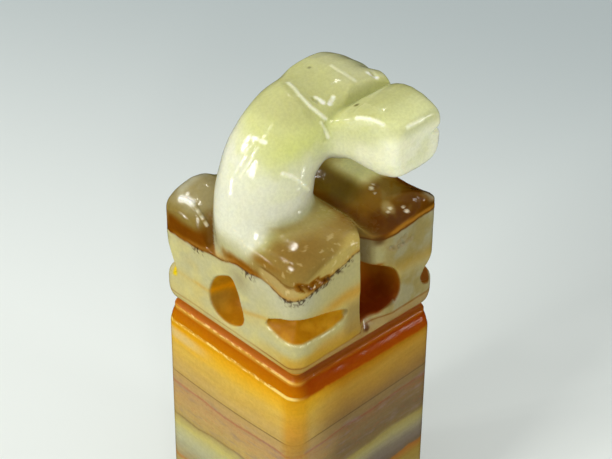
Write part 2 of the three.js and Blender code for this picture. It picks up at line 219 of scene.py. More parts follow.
SLOT_RIGHT = curve([(6.5, 0.0), (7.5, 0.2), (8.5, 0.7), (9.8, 1.15), (10.5, 1.4), (11.1, 1.65), (11.6, 2.05), (12.0, 2.9), (12.5, 4.6), (13.0, 6.6), (14, 10.6)])
SLOT_LEFT = curve([(7, 0.6), (8.0, 0.4), (9.0, 0.15), (10.0, -0.15), (11.0, -0.6), (11.6, -0.95), (12.1, -1.3), (12.5, -1.7), (13.5, -2.6)])
SLOT_FOOT = curve([(0.5, -0.1), (1.5, 0.05), (2.6, 0.3), (4.0, 0.55), (5.5, 1.2), (7.0, 2.6), (9.0, 3.6), (12, 3.8)])


def walls(x, y, z):
    q = square(x, y, HALF, EDGE_R)
    return q


def block(x, y, z):
    """Column and carved block up to the knob, with the cuts in its sides."""
    q = walls(x, y, z)
    d = q + INSET(z - groove_level(x, y))
    # corner cuts
    for c in CORNERS.values():
        sx, sy = c["sign"]
        u, v = sx * x, sy * y
        near = (u > 0) & (v > 0) & (z > 3.5) & (z < 15)
        if not near.any():
            continue
        u, v, zz, qq = u[near], v[near], z[near], q[near]
        t = u - v
        core = square(u, v, HALF - c["stand"], c["r"])
        top = (zz - c["top"](t) - qq * c["up"]) / np.hypot(1, c["up"])
        low = (c["low"](t) - qq * c["down"] - zz) / np.hypot(1, c["down"])
        cut = smax(smax(top, low, 0.8), -core, 1.0)
        d[near] = smax(d[near], -cut, 0.1)
    return d


def hollows(x, y, z, d):
    # left face
    near = (y < -5) & (np.abs(x) < 5) & (z > 3) & (z < 15)
    if near.any():
        a, b, c = x[near], y[near], z[near]
        depth = b + HALF
        rim = outline(a - 0.16 * depth, c + 0.12 * depth, HOLLOW_LEFT)
        cut = smax(rim + 0.22 * depth, depth - 3.7, 1.6)
        d[near] = smax(d[near], -cut, 0.12)
    # right face: recess under the head and the slot that leads down to it
    near = (x > 4) & (np.abs(y - 2) < 7) & (z > 1.5)
    if near.any():
        a, b, c = x[near], y[near], z[near]
        depth = HALF - a
        rim = outline(b, c, RECESS_RIGHT)
        cut = smax(rim + 0.12 * depth, depth - 4.6, 1.8)
        d[near] = smax(d[near], -cut, 0.12)
        # slot: its left wall stands square to the face, its right wall rounds out to it
        g = SLOT_RIGHT(a)
        h = SLOT_LEFT(a)
        left = h + 0.05 * np.clip(16 - c, -4, 14) - b
        right = (b - g) * 0.75
        foot = SLOT_FOOT(c)
        slot = smax(smax(left, right, 0.35), depth - foot, 0.7)
        d[near] = smax(d[near], -slot, 0.15)
    # the two sides behind
    near = (y > 5) & (np.abs(x) < 6) & (z > 3) & (z < 15)
    if near.any():
        a, b, c = x[near], y[near], z[near]
        depth = HALF - b
        rim = outline(-a + 0.12 * depth, c + 0.1 * depth, HOLLOW_LEFT)
        cut = smax(rim + 0.2 * depth, depth - 3.4, 1.6)
        d[near] = smax(d[near], -cut, 0.12)
    near = (x < -5) & (np.abs(y) < 6) & (z > 3) & (z < 15)
    if near.any():
        a, b, c = x[near], y[near], z[near]
        depth = HALF + a
        rim = outline(-b * 0.95 + 0.5, c + 0.1 * depth + 0.3, HOLLOW_LEFT)
        cut = smax(rim + 0.2 * depth, depth - 3.6, 1.6)
        d[near] = smax(d[near], -cut, 0.12)
    return d


def arm(across, along, z, half_width, crest, floor, n=2.3):
    """A long hump: across its width, with its floor and its crest."""
    h = crest - floor
    a, c = np.abs(across) / half_width + 1e-6, np.maximum(z - floor, 0) / h + 1e-6
    k = (a**n + c**n) ** (1 / n)
    g = np.sqrt((a ** (n - 1) / half_width) ** 2 + (c ** (n - 1) / h) ** 2) * k ** (1 - n)
    return (k - 1) / np.maximum(g, 0.04)


NECK = [
    (0.4, -6.2, 10.5, 6.3),
    (0.3, -6.25, 15.5, 6.15),
    (0.0, -6.3, 19.5, 6.15),
    (-0.55, -5.45, 23.2, 5.98),
    (-1.25, -3.4, 26.2, 5.78),
    (-1.45, 0.1, 28.8, 5.62),
    (-1.4, 3.7, 29.7, 5.15),
    (-1.2, 7.0, 29.6, 4.8),
]


LEFT_CREST = curve([(-14, 15.5), (-12.6, 17.2), (-11.6, 18.8), (-10.2, 20.0), (-8.2, 20.6), (-6.5, 20.2), (-5, 19.2), (-3.5, 18.5), (-1, 18.1), (3, 18.2), (7, 18.9), (9, 19.3), (12.5, 19.4), (14, 19.1)])
RIGHT_CREST = curve([(-14, 19.3), (-12.5, 19.6), (-8, 20.3), (0, 20.0), (4, 19.4), (6, 19.1), (7.6, 19.2), (9, 19.6), (10.4, 20.2), (11.9, 20.3), (13, 20.0)])


def knob(x, y, z):
    """Everything over the carved block, before it is cut flush with the block's sides."""
    # coil along the -X side: a dome at its front end
    crest = LEFT_CREST(y)
    left = arm(x + 8.6, y, z, 4.9 + 0.5 * np.clip((17 - z) / 4, 0, 1), crest, 12.6)
    # coil along the +Y side
    crest = RIGHT_CREST(x)
    right = arm(y - 8.7, x, z, 5.0, crest, 13.2)
    coil = smin(left, right, 1.6)
    # facet cut across the right end, from its crest down to the outer edge
    scoop = egg(x, y, z, (11.2, 5.4, 23.6), (7.6, 5.2, 5.6), 2.0, rz=28)
    coil = smax(coil, -scoop, 0.35)
    rim = (z - (17.35 + 0.09 * y) - 0.8 - 1.15 * (12.6 - x)) * 0.66
    tip = box(x, y, z, (12.0, 11.6, 18.8), (1.5, 1.9, 1.7), 0.5, ry=-12)
    coil = smax(coil, smin(rim, tip, 0.6), 0.25)
    # neck
    neck = worm(x, y, z, NECK)
    front = (y < -9) & (x < -3.5) & (z > 15)
    if front.any():
        e = coil[front]
        for p, q in zip(DOME_EDGE[:-1], DOME_EDGE[1:]):
            e = smin(e, capsule(x[front], y[front], z[front], p, q, 0.2, 0.2), 0.3)
        coil[front] = e
    d = smin(coil, neck, 0.3)
    # the ground between the humps, a little over the white bed
    bed = 15.82 + 0.110 * x + 0.090 * y
    ground = z - bed - 0.35 - 1.15 * np.clip((12.0 - np.abs(x)) / 7, 0, 1) * np.clip((12.3 - np.abs(y)) / 4, 0, 1)
    d = smin(d, ground, 0.9)
    # front lobe
    lobe = egg(x, y, z, (6.0, -5.7, 14.9), (7.7, 7.2, 6.25), 3.5)
    d = smin(d, lobe, 1.5)
    return d


RIM_NEAR = [(-2.74, 0.44, 34.02), (-2.03, 0.28, 34.13), (-0.03, -0.25, 33.92), (1.62, -0.15, 33.25), (2.89, 0.49, 32.28), (3.4, 0.85, 31.75)]
RIM_CHEEK = [(3.39, 0.13, 31.47), (3.69, 0.53, 30.4), (4.19, 0.57, 29.6)]
RIM_CREST = [(-1.3, 6.4, 34.64), (0.81, 6.63, 34.36), (2.3, 6.8, 34.0)]
STREAK = [(3.9, -6.61, 27.46), (4.39, -5.75, 27.0), (4.78, -4.96, 26.22), (5.01, -4.17, 25.2), (4.97, -3.28, 23.97)]
STROKES = [[(-0.61, -8.0, 29.75), (-0.53, -8.72, 28.97), (-0.58, -9.51, 27.99), (-0.63, -10.13, 27.08)], [(0.46, -7.51, 29.93), (0.52, -8.39, 29.06), (0.46, -9.32, 28.01), (0.26, -10.12, 26.96)]]
MUZZLE_SIDE = [(7.0, 2.63, 32.86), (7.36, 2.78, 32.96), (8.51, 3.32, 33.15), (9.51, 3.67, 33.06), (10.19, 3.85, 32.89)]
MUZZLE_NOSE = [(12.25, 6.02, 32.62), (12.31, 6.99, 32.63), (12.34, 7.99, 32.61), (12.34, 8.5, 32.62)]
DOME_EDGE = [(-9.62, -11.55, 18.93), (-8.65, -11.39, 19.22), (-7.78, -11.33, 19.2), (-6.72, -11.44, 18.92), (-5.92, -11.49, 18.45), (-5.25, -11.44, 17.87), (-4.79, -11.37, 17.3)]
LOW_EDGE = curve([(-8, 32.6), (-7, 33.1), (-5, 33.9), (-2.7, 34.2), (-1.4, 34.2), (0, 33.98), (1.6, 33.3), (2.9, 32.25), (3.6, 31.4), (4.6, 29.9), (5.6, 28.4)])
HEAD_CREST = curve([(-8, 32.6), (-7, 33.3), (-5.5, 34.0), (-4, 34.45), (-1.5, 34.75), (1.5, 34.35), (3.0, 33.95), (3.9, 33.4), (5, 32.4), (6, 31.4)])
MOUTH = curve([(4, -0.4), (9.0, -0.25), (10.2, 0.1), (11.2, 0.5), (12.5, 0.95), (14, 1.3)])
MUZZLE_TOP = curve([(1, 31.6), (2.4, 31.9), (3.6, 32.3), (5, 33.1), (6.4, 33.75), (7.8, 34.05), (9.3, 33.95), (10.8, 33.55), (12.0, 33.0), (13, 32.4)])


def head(x, y, z, d):
    near = (z > 21.5) & (x > -12)
    if not near.any():
        return d
    X, Y, Z = x[near], y[near], z[near]
    e = d[near]
    skull = egg(X, Y, Z, (-0.6, 6.5, 29.5), (6.4, 6.1, 5.5), 3.0)
    e = smin(e, skull, 0.8)
    # flats ground either side of the crest, which meet along it
    low_edge = LOW_EDGE(X)
    crest = HEAD_CREST(X)
    s_ = np.clip((Y - 0.1) / 5.7, -0.3, 1.2)
    flat = (Z - low_edge - (crest - low_edge) * s_ + 0.9 * s_ * (1 - s_)) * 0.93
    e = smax(e, flat, 0.12)
    far = np.clip(X / 3, 0, 1)
    flat = (Z - crest + 0.07 * (Y - 5.8) + (0.09 - 0.05 * far) * np.clip(Y - 7.4 - 1.1 * far, 0, 5) ** 2) * 0.93
    e = smax(e, flat, 0.2)
    # muzzle, boxy and rounded, narrower at the nose
    t = np.clip((X - 2) / 10.5, 0, 1.1)
    y0 = 0.45 + 3.9 * np.clip(t - 0.1, 0, 1) ** 1.1
    y1 = 12.4 - 0.3 * t
    z0 = 26.7 - 1.9 * np.clip(t, 0, 0.75) + 0.9 * np.clip(t - 0.6, 0, 1) - 0.75 * np.exp(-(((t - 0.78) / 0.28) ** 2))
    z1 = MUZZLE_TOP(X) + 0.55 * np.clip((Y - 5) / 6, -0.6, 1.1) * np.clip((X - 3) / 2.5, 0, 1)
    my, mz = (y0 + y1) / 2, (z0 + z1) / 2
    hy, hz = (y1 - y0) / 2, (z1 - z0) / 2
    n = 3.4
    a, b = np.abs(Y - my) / hy + 1e-6, np.abs(Z - mz) / hz + 1e-6
    k = (a**n + b**n) ** (1 / n)
    g = np.sqrt((a ** (n - 1) / hy) ** 2 + (b ** (n - 1) / hz) ** 2) * k ** (1 - n)
    muzzle = (k - 1) / np.maximum(g, 1e-6)
    muzzle = smax(muzzle, X - 12.55 - 0.035 * (Z - 30), 1.3)
    muzzle = smax(muzzle, 0.8 - X, 1.0)
    # the brow: a groove across, between the skull and the muzzle
    brow = (Z - 32.2 - 0.07 * np.clip(Y - 7, 0, 6) - 0.1 * np.clip(5 - Y, 0, 6)) * 0.55 - np.abs(X - 3.95 - 0.02 * (Y - 6)) * 0.83
    e = smax(e, np.minimum(brow, 3), 0.15)
    low = np.clip((30.5 - Z) / 3, 0, 1)
    e = smin(e, muzzle * 0.95, 0.3 + 1.9 * low)
    e = smax(e, np.minimum(brow, 3), 0.25)
    # crease from the brow down to the throat
    e = smax(e, -capsule(X, Y, Z, (3.5, 0.7, 31.9), (4.2, 0.2, 29.4), 0.25, 0.15), 0.45)
    # fine raised rim along the near flat, and another behind the cheek
    rim = RIM_NEAR
    for i in range(len(rim) - 1):
        w = capsule(X, Y, Z, rim[i], rim[i + 1], 0.2, 0.2)
        e = smin(e, w, 0.12)
    for path, r in ((RIM_CHEEK, 0.17), (RIM_CREST, 0.1), (STREAK, 0.2), (MUZZLE_SIDE, 0.14), (MUZZLE_NOSE, 0.12), (STROKES[0], 0.12), (STROKES[1], 0.12)):
        for p, q in zip(path[:-1], path[1:]):
            e = smin(e, capsule(X, Y, Z, p, q, r, r), 0.15)
    # mouth: a notch at the far corner of the lips that fades towards the neck
    depth = MOUTH(Y)
    slit = np.abs(Z - 29.7 - 0.04 * (Y - 10)) * 0.75 - (X - 12.35 + depth) * 0.6
    far = np.abs(Z - 29.7) * 0.8 - (Y - 12.05 + 0.6 * np.clip((X - 9.5) / 3.0, 0, 1)) * 0.6
    slit = np.minimum(slit, far)
    e = smax(e, -slit, 0.35)
    # eyes, two short strokes behind the brow
    for m, rz in (((1.75, 1.3, 33.55), 25), ((2.75, 2.3, 33.3), -60), ((2.6, 9.9, 33.95), -18)):
        eye = egg(X, Y, Z, m, (0.95, 0.36, 0.55), 2.0, rz=rz)
        e = smax(e, -eye, 0.22)
    d = d.copy()
    d[near] = e
    return d


def waves(x, y, z):
    """Slight unevenness of a surface cut and rubbed down by hand."""
    out = 0
    for a, b, c, f, w in RIPPLES:
        out = out + w * np.sin(a * x + b * y + c * z + f)
    return out


RIPPLES = [
    (1.31, 0.42, -0.77, 0.3, 0.011), (-0.52, 1.47, 0.63, 1.9, 0.011), (0.88, -0.93, 1.21, 4.0, 0.01),
    (2.21, 1.05, 0.58, 2.2, 0.006), (-1.13, 0.71, 2.37, 5.1, 0.006), (0.49, -2.43, -1.02, 0.9, 0.006),
    (3.1, -1.7, 2.2, 3.3, 0.003), (-2.4, -2.9, 1.8, 1.1, 0.003),
]

# Pits where the stone broke out along the bedding: paths on the wall with their half width.
PITS = [
    ([(12.2, -11.75, 17.55), (12.72, -10.6, 17.05), (12.85, -9.7, 16.8), (12.82, -8.5, 16.9), (12.8, -7.3, 16.8)], 0.5),
    ([(12.8, -9.9, 17.4), (12.8, -8.9, 17.55)], 0.38),
    ([(12.6, 2.9, 16.0), (12.6, 3.8, 15.3), (12.75, 5.3, 15.1), (12.8, 7.4, 15.25)], 0.42),
    ([(12.75, 5.0, 15.9), (12.75, 6.2, 16.1)], 0.35),
]


def seal(x, y, z):
    d = block(x, y, z)
    top = z > 11
    if top.any():
        X, Y, Z = x[top], y[top], z[top]
        k = knob(X, Y, Z)
        k = head(X, Y, Z, k)
        bed = 15.82 + 0.110 * X + 0.090 * Y
        body = smax(d[top], (Z - bed), 0.3)
        wall = square(X, Y, HALF, EDGE_R - 0.9 * np.clip((Z - 22) / 3, 0, 1))
        k = np.maximum(k, wall) + 0.35 * 0.25 * np.maximum(1 - np.abs(k - wall) / 0.35, 0) ** 2 * np.clip((Z - bed - 0.15) / 1.2, 0, 1)
        k = smax(k, bed - 0.8 - Z, 0.1)
        d[top] = smin(body, k, 0.12)
    d = hollows(x, y, z, d)
    near = (x > 11) & (z > 13.5) & (z < 19)
    if near.any():
        a, b, c = x[near], y[near], z[near]
        rough = 0.13 * np.sin(3.3 * b + 1.1 * c) * np.sin(2.9 * c + 0.7) + 0.08 * np.sin(7.1 * b + 3.7 * c)
        e = d[near]
        for path, r in PITS:
            for p, q in zip(path[:-1], path[1:]):
                e = smax(e, -(capsule(a, b, c, p, q, r, r) + rough), 0.08)
        d[near] = e
    high = z > 3.5
    if high.any():
        d[high] += (waves(x[high], y[high], z[high]) * np.clip((z[high] - 3.5) / 2, 0, 1) * (0.5 + 0.5 * np.clip((z[high] - 15) / 2, 0, 1))).astype(np.float32)
    return d


# ---------------------------------------------------------------------------------------------------------
# Sealing face: a border and a key fret, cut in from below.
CUT, GROOVE = 0.8, 0.5
Q = 10.3
FRET = [
    (1, Q - 1, Q - 1, Q - 1), (Q - 1, Q - 1, Q - 1, 1), (Q - 1, 1, 3, 1), (3, 1, 3, Q - 3),
    (3, Q - 3, Q - 3, Q - 3), (Q - 3, Q - 3, Q - 3, 3.4), (Q - 3, 3.4, 5.2, 3.4),
]


def fret(x, y):
    d = np.abs(np.maximum(np.abs(x), np.abs(y)) - 10.8) - GROOVE
    for turn in range(4):
        for x0, y0, x1, y1 in FRET:
            ax = np.abs(x - (x0 + x1) / 2) - abs(x1 - x0) / 2 - GROOVE
            ay = np.abs(y - (y0 + y1) / 2) - abs(y1 - y0) / 2 - GROOVE
            d = np.minimum(d, np.maximum(ax, ay))
        x, y = y, -x
    return d


# Small chips along the edges of the sealing face.
CHIPS = [(12.6, -9.2, 0.55), (7.5, -12.7, 0.4), (-12.6, 4.0, 0.5), (-3.2, 12.65, 0.45), (12.2, 11.8, 0.6), (-11.9, -12.0, 0.5), (12.65, 2.4, 0.3)]


def stone(x, y, z):
    """The whole seal, with its sealing face."""
    d = seal(x, y, z)
    low = z < -39
    if low.any():
        X, Y, Z = x[low], y[low], z[low]
        e = smax(d[low], -LENGTH - Z, 0.25)
        e = smax(e, -np.maximum(fret(X, Y), Z + LENGTH - CUT), 0.06)
        for cx, cy, r in CHIPS:
            e = smax(e, r - np.sqrt((X - cx) ** 2 + (Y - cy) ** 2 + ((Z + LENGTH + 0.15) * 1.3) ** 2), 0.1)
        d[low] = e
    return d


def sample(f, p, step=400000):
    out = np.empty(len(p), np.float32)
    for i in range(0, len(p), step):
        q = p[i : i + step].astype(np.float32)
        out[i : i + step] = f(q[:, 0].copy(), q[:, 1].copy(), q[:, 2].copy())
    return out


def spread(d, i, axis, coarse, fine):
    """Linear interpolation of d along one axis."""
    k = np.clip(np.searchsorted(coarse, fine, side="right") - 1, 0, len(coarse) - 2)
    w = ((fine - coarse[k]) / (coarse[k + 1] - coarse[k])).astype(np.float32)
    shape = [1, 1, 1]
    shape[axis] = len(fine)
    w = w.reshape(shape)
    return d.take(k, axis=axis) * (1 - w) + d.take(k + 1, axis=axis) * w


def gradient(f, p, e=0.03):
    g = np.zeros((len(p), 3), np.float32)
    for sgn in ((1, -1, -1), (-1, 1, -1), (-1, -1, 1), (1, 1, 1)):
        s = np.array(sgn, np.float32)
        g += s * sample(f, p + e * s)[:, None]
    return g / (4 * e)


def skin(f, xs, ys, zs, near=1.15, skip=4):
    """Closed quad mesh of the surface f = 0: one point in each cell that it crosses, pulled onto it."""
    axes = [xs, ys, zs]
    thin = [np.append(a[:-1:skip], a[-1]) for a in axes]
    g = np.stack(np.meshgrid(*thin, indexing="ij"), -1).reshape(-1, 3)
    d = sample(f, g).reshape([len(a) for a in thin])
    for k in range(3):
        d = spread(d, 0, k, thin[k], axes[k])
    band = np.nonzero(np.abs(d) < near)
    d[band] = sample(f, np.stack([xs[band[0]], ys[band[1]], zs[band[2]]], 1))
    inside = d < 0
    shape = np.array(d.shape) - 1
    count = np.zeros(shape.prod(), np.int32)
    total = np.zeros((shape.prod(), 3))
    quads = []
    for k in range(3):
        u, v = (k + 1) % 3, (k + 2) % 3
        a = [slice(None)] * 3
        b = [slice(None)] * 3
        a[k], b[k] = slice(None, -1), slice(1, None)
        cross = np.array(np.nonzero(inside[tuple(a)] != inside[tuple(b)]))
        nxt = cross.copy()
        nxt[k] += 1
        da, db = d[tuple(cross)], d[tuple(nxt)]
        t = da / (da - db)
        p = np.stack([axes[j][cross[j]] for j in range(3)], 1).astype(float)
        p[:, k] += t * (axes[k][nxt[k]] - axes[k][cross[k]])
        cells = []
        for du, dv in ((-1, -1), (0, -1), (0, 0), (-1, 0)):
            c = cross.copy()
            c[u] += du
            c[v] += dv
            c = np.ravel_multi_index(c, shape)
            cells.append(c)
            count += np.bincount(c, minlength=len(count)).astype(np.int32)
            for j in range(3):
                total[:, j] += np.bincount(c, weights=p[:, j], minlength=len(count))
        cells = np.stack(cells, 1)
        out = da > 0
        cells[out] = cells[out][:, ::-1]
        quads.append(cells)
    used = np.nonzero(count)[0]
    index = np.full(len(count), -1)
    index[used] = np.arange(len(used))
    p = total[used] / count[used][:, None]
    quads = index[np.concatenate(quads)]
    for _ in range(3):
        g = gradient(f, p)
        e = sample(f, p)
        move = -e[:, None] * g / np.maximum((g * g).sum(1), 0.2)[:, None]
        size = np.linalg.norm(move, axis=1)
        p = p + move * np.minimum(1, 0.12 / np.maximum(size, 1e-9))[:, None]
    return p, quads


def levels(*parts):
    """Grid lines: (from, to, spacing) after each other."""
    out = []
    for a, b, h in parts:
        n = max(1, int(round((b - a) / h)))
        out.extend(a + (b - a) * np.arange(n) / n)
    out.append(parts[-1][1])
    return np.array(out)


H = 0.205
side = levels((-12.9, 12.9, H))
up = levels((-42.6, -40.6, 0.2), (-40.6, -37, 0.45), (-37, -4.0, 0.86), (-4.0, -2.6, 0.42), (-2.6, 35.7, H))
points, quads = skin(stone, side, side, up)


# ---------------------------------------------------------------------------------------------------------
# The pieces: the one stone parted on the surfaces between its beds, which are gently wavy.
LINE_LEFT = curve([(-14, 0.1), (-11.1, 0.1), (-8.7, -0.12), (-4.9, -0.24), (-3, 0.05), (-0.8, -0.1), (1.8, 0.75), (3.3, 0.5), (4.4, 0.3), (6.5, 0.6), (8.3, 0.3), (10.1, -0.5), (12.5, -0.65), (14, -0.65)])
LINE_RIGHT = curve([(-14, -0.65), (-12.5, -0.65), (-11.2, -0.6), (-9.7, -0.15), (-6.85, 0.25), (-4.3, 0.6), (-2, 1.15), (0, 0.5), (3, -0.45), (5.2, -0.17), (7.8, -0.16), (11.5, -0.45), (14, -0.45)])


def bed_top(x, y):
    """Height of the white bed's upper surface."""
    a = np.exp(-(((y + 12.5) / 3.5) ** 2))
    b = np.exp(-(((12.5 - x) / 3.5) ** 2))
    w = (a * LINE_LEFT(x) + b * LINE_RIGHT(y)) / np.maximum(a + b, 1)
    return 15.82 + 0.110 * x + 0.090 * y + w


def column_bed(x, y):
    """Rise of a column bed over its height at the front corner."""
    d = 12.5 - x
    return -0.155 * d + 0.004 * d * d + 0.02 * (y + 12.5)


COLUMN = [
    ("seal_face", None, ("seal_face_bed",), "seal_face_stone"),
    ("cream_bed", -34.0, ("base_bed_cream",), "cream_stone"),
    ("brown_bed", -29.0, ("base_bed_brown",), "brown_stone"),
    ("yellow_green_bed", -23.6, ("column_bed_yellow_green",), "yellow_green_stone"),
    ("grey_lilac_bed", -20.6, ("column_bed_grey_lilac",), "grey_lilac_stone"),
    ("greenish_white_bed", -15.8, ("column_bed_greenish_white",), "greenish_white_stone"),
    ("red_lined_bed", -10.2, ("column_bed_red_lined",), "red_lined_stone"),
    ("shoulder", -8.25, ("shoulder_bed_amber",), "amber_stone"),
]


def lift(bm, surface, sign):
    co = np.array([v.co for v in bm.verts])
    co[:, 2] += sign * surface(co[:, 0], co[:, 1])
    for v, z in zip(bm.verts, co[:, 2].tolist()):
        v.co.z = z


def split(bm, surface, height):
    """(below, above): two closed solids that share the surface z = surface(x, y) + height."""
    lift(bm, surface, -1)
    bmesh.ops.bisect_plane(bm, geom=bm.verts[:] + bm.edges[:] + bm.faces[:], dist=1e-4, plane_co=(0, 0, height), plane_no=(0, 0, 1))
    out = []
    for above in (False, True):
        half = bm.copy()
        gone = [f for f in half.faces if (f.calc_center_median().z > height) != above]
        bmesh.ops.delete(half, geom=gone, context="FACES")
        rim = [e for e in half.edges if e.is_boundary]
        cap = bmesh.ops.triangle_fill(half, edges=rim, use_beauty=True, use_dissolve=False, normal=(0, 0, -1 if above else 1))["geom"]
        for e in rim:
            e.smooth = False
        for f in cap:
            if isinstance(f, bmesh.types.BMFace):
                f.normal_update()
                if (f.normal.z > 0) == above:
                    f.normal_flip()
        lift(half, surface, 1)
        out.append(half)
    return out


def piece(name, bm, nodes):
    for f in bm.faces:
        f.smooth = True
    bad = [e for e in bm.edges if not e.is_manifold]
    print(name, "faces", len(bm.faces), "open or bad edges", len(bad))
    bmesh.ops.transform(bm, matrix=Matrix.Diagonal((0.001, 0.001, 0.001, 1)) @ Matrix.Translation((0, 0, LENGTH)), verts=bm.verts)
    me = bpy.data.meshes.new(name)
    bm.to_mesh(me)
    bm.free()
    o = bpy.data.objects.new(name, me)
    bpy.context.scene.collection.objects.link(o)
    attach(o, "root")
    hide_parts(*nodes)
    return o


whole = bpy.data.meshes.new("whole")
whole.from_pydata(points.tolist(), [], quads.tolist())
bm = bmesh.new()
bm.from_mesh(whole)
bpy.data.meshes.remove(whole)
bmesh.ops.recalc_face_normals(bm, faces=bm.faces)
bmesh.ops.collapse(bm, edges=[e for e in bm.edges if len(e.link_faces) > 2], uvs=False)
print("whole", len(bm.faces), "open or bad edges", sum(not e.is_manifold for e in bm.edges))
column, upper = split(bm, groove_level, 2.62)
bm.free()
block_bm, knob_bm = split(upper, bed_top, 0.0)
upper.free()
PIECES = {}
rest = column
for k in range(len(COLUMN) - 1):
    name, _, nodes, slot = COLUMN[k]
    low, high = split(rest, column_bed, COLUMN[k + 1][1])
    rest.free()
    PIECES[name] = piece(name, low, nodes)
    rest = high
name, _, nodes, slot = COLUMN[-1]
PIECES[name] = piece(name, rest, nodes)
PIECES["carved_block"] = piece("carved_block", block_bm, ("plinth_foot_bed", "plinth_ring_bed", "plinth_lobe_bed"))
PIECES["snake_knob"] = piece("snake_knob", knob_bm, ("coil_left", "coil_back", "coil_right", "front_lobe", "snake_neck", "snake_head"))


# ---------------------------------------------------------------------------------------------------------
# Colour of the stone. The block and the knob take it from their place in the stone, point by point.
def step(a, b, v):
    t = np.clip((v - a) / (b - a), 0, 1)
    return t * t * (3 - 2 * t)


def lattice(i, j, k):
    n = (i * 73856093) ^ (j * 19349663) ^ (k * 83492791)
    n = (n ^ (n >> 13)) * 1274126177
    return ((n ^ (n >> 16)) & 0xFFFF) / 65535.0


def noise(x, y, z):
    """Smooth noise from 0 to 1 with a period of one unit."""
    i, j, k = (np.floor(a).astype(np.int64) for a in (x, y, z))
    u, v, w = x - i, y - j, z - k
    u, v, w = u * u * (3 - 2 * u), v * v * (3 - 2 * v), w * w * (3 - 2 * w)
    out = 0
    for a in (0, 1):
        for b in (0, 1):
            for c in (0, 1):
                out = out + lattice(i + a, j + b, k + c) * (u if a else 1 - u) * (v if b else 1 - v) * (w if c else 1 - w)
    return out


def clouds(x, y, z, size, octaves=3):
    out, total = 0, 0
    for o in range(octaves):
        f = 2.0**o / size
        out = out + noise(x * f + 17.3 * o, y * f + 5.1 * o, z * f + 9.7 * o) / 2**o
        total += 1 / 2**o
    return out / total


def rgb(*c):
    return np.array(c, float) / 255


def mix(a, b, t):
    return a + (b - a) * np.asarray(t)[:, None]


def near_path(x, y, z, path):
    d = np.full(x.shape, 1e9)
    for p, q in zip(path[:-1], path[1:]):
        d = np.minimum(d, capsule(x, y, z, p, q, 0, 0))
    return d


def linear(c):
    return np.where(c <= 0.04045, c / 12.92, ((np.maximum(c, 0) + 0.055) / 1.055) ** 2.4)


YELLOW_LEFT = curve([(-14, 8.3), (-9, 8.0), (-4, 8.0), (0, 8.3), (3.2, 8.8), (5.4, 9.5), (6.9, 10.1), (12.5, 10.9), (14, 11)])


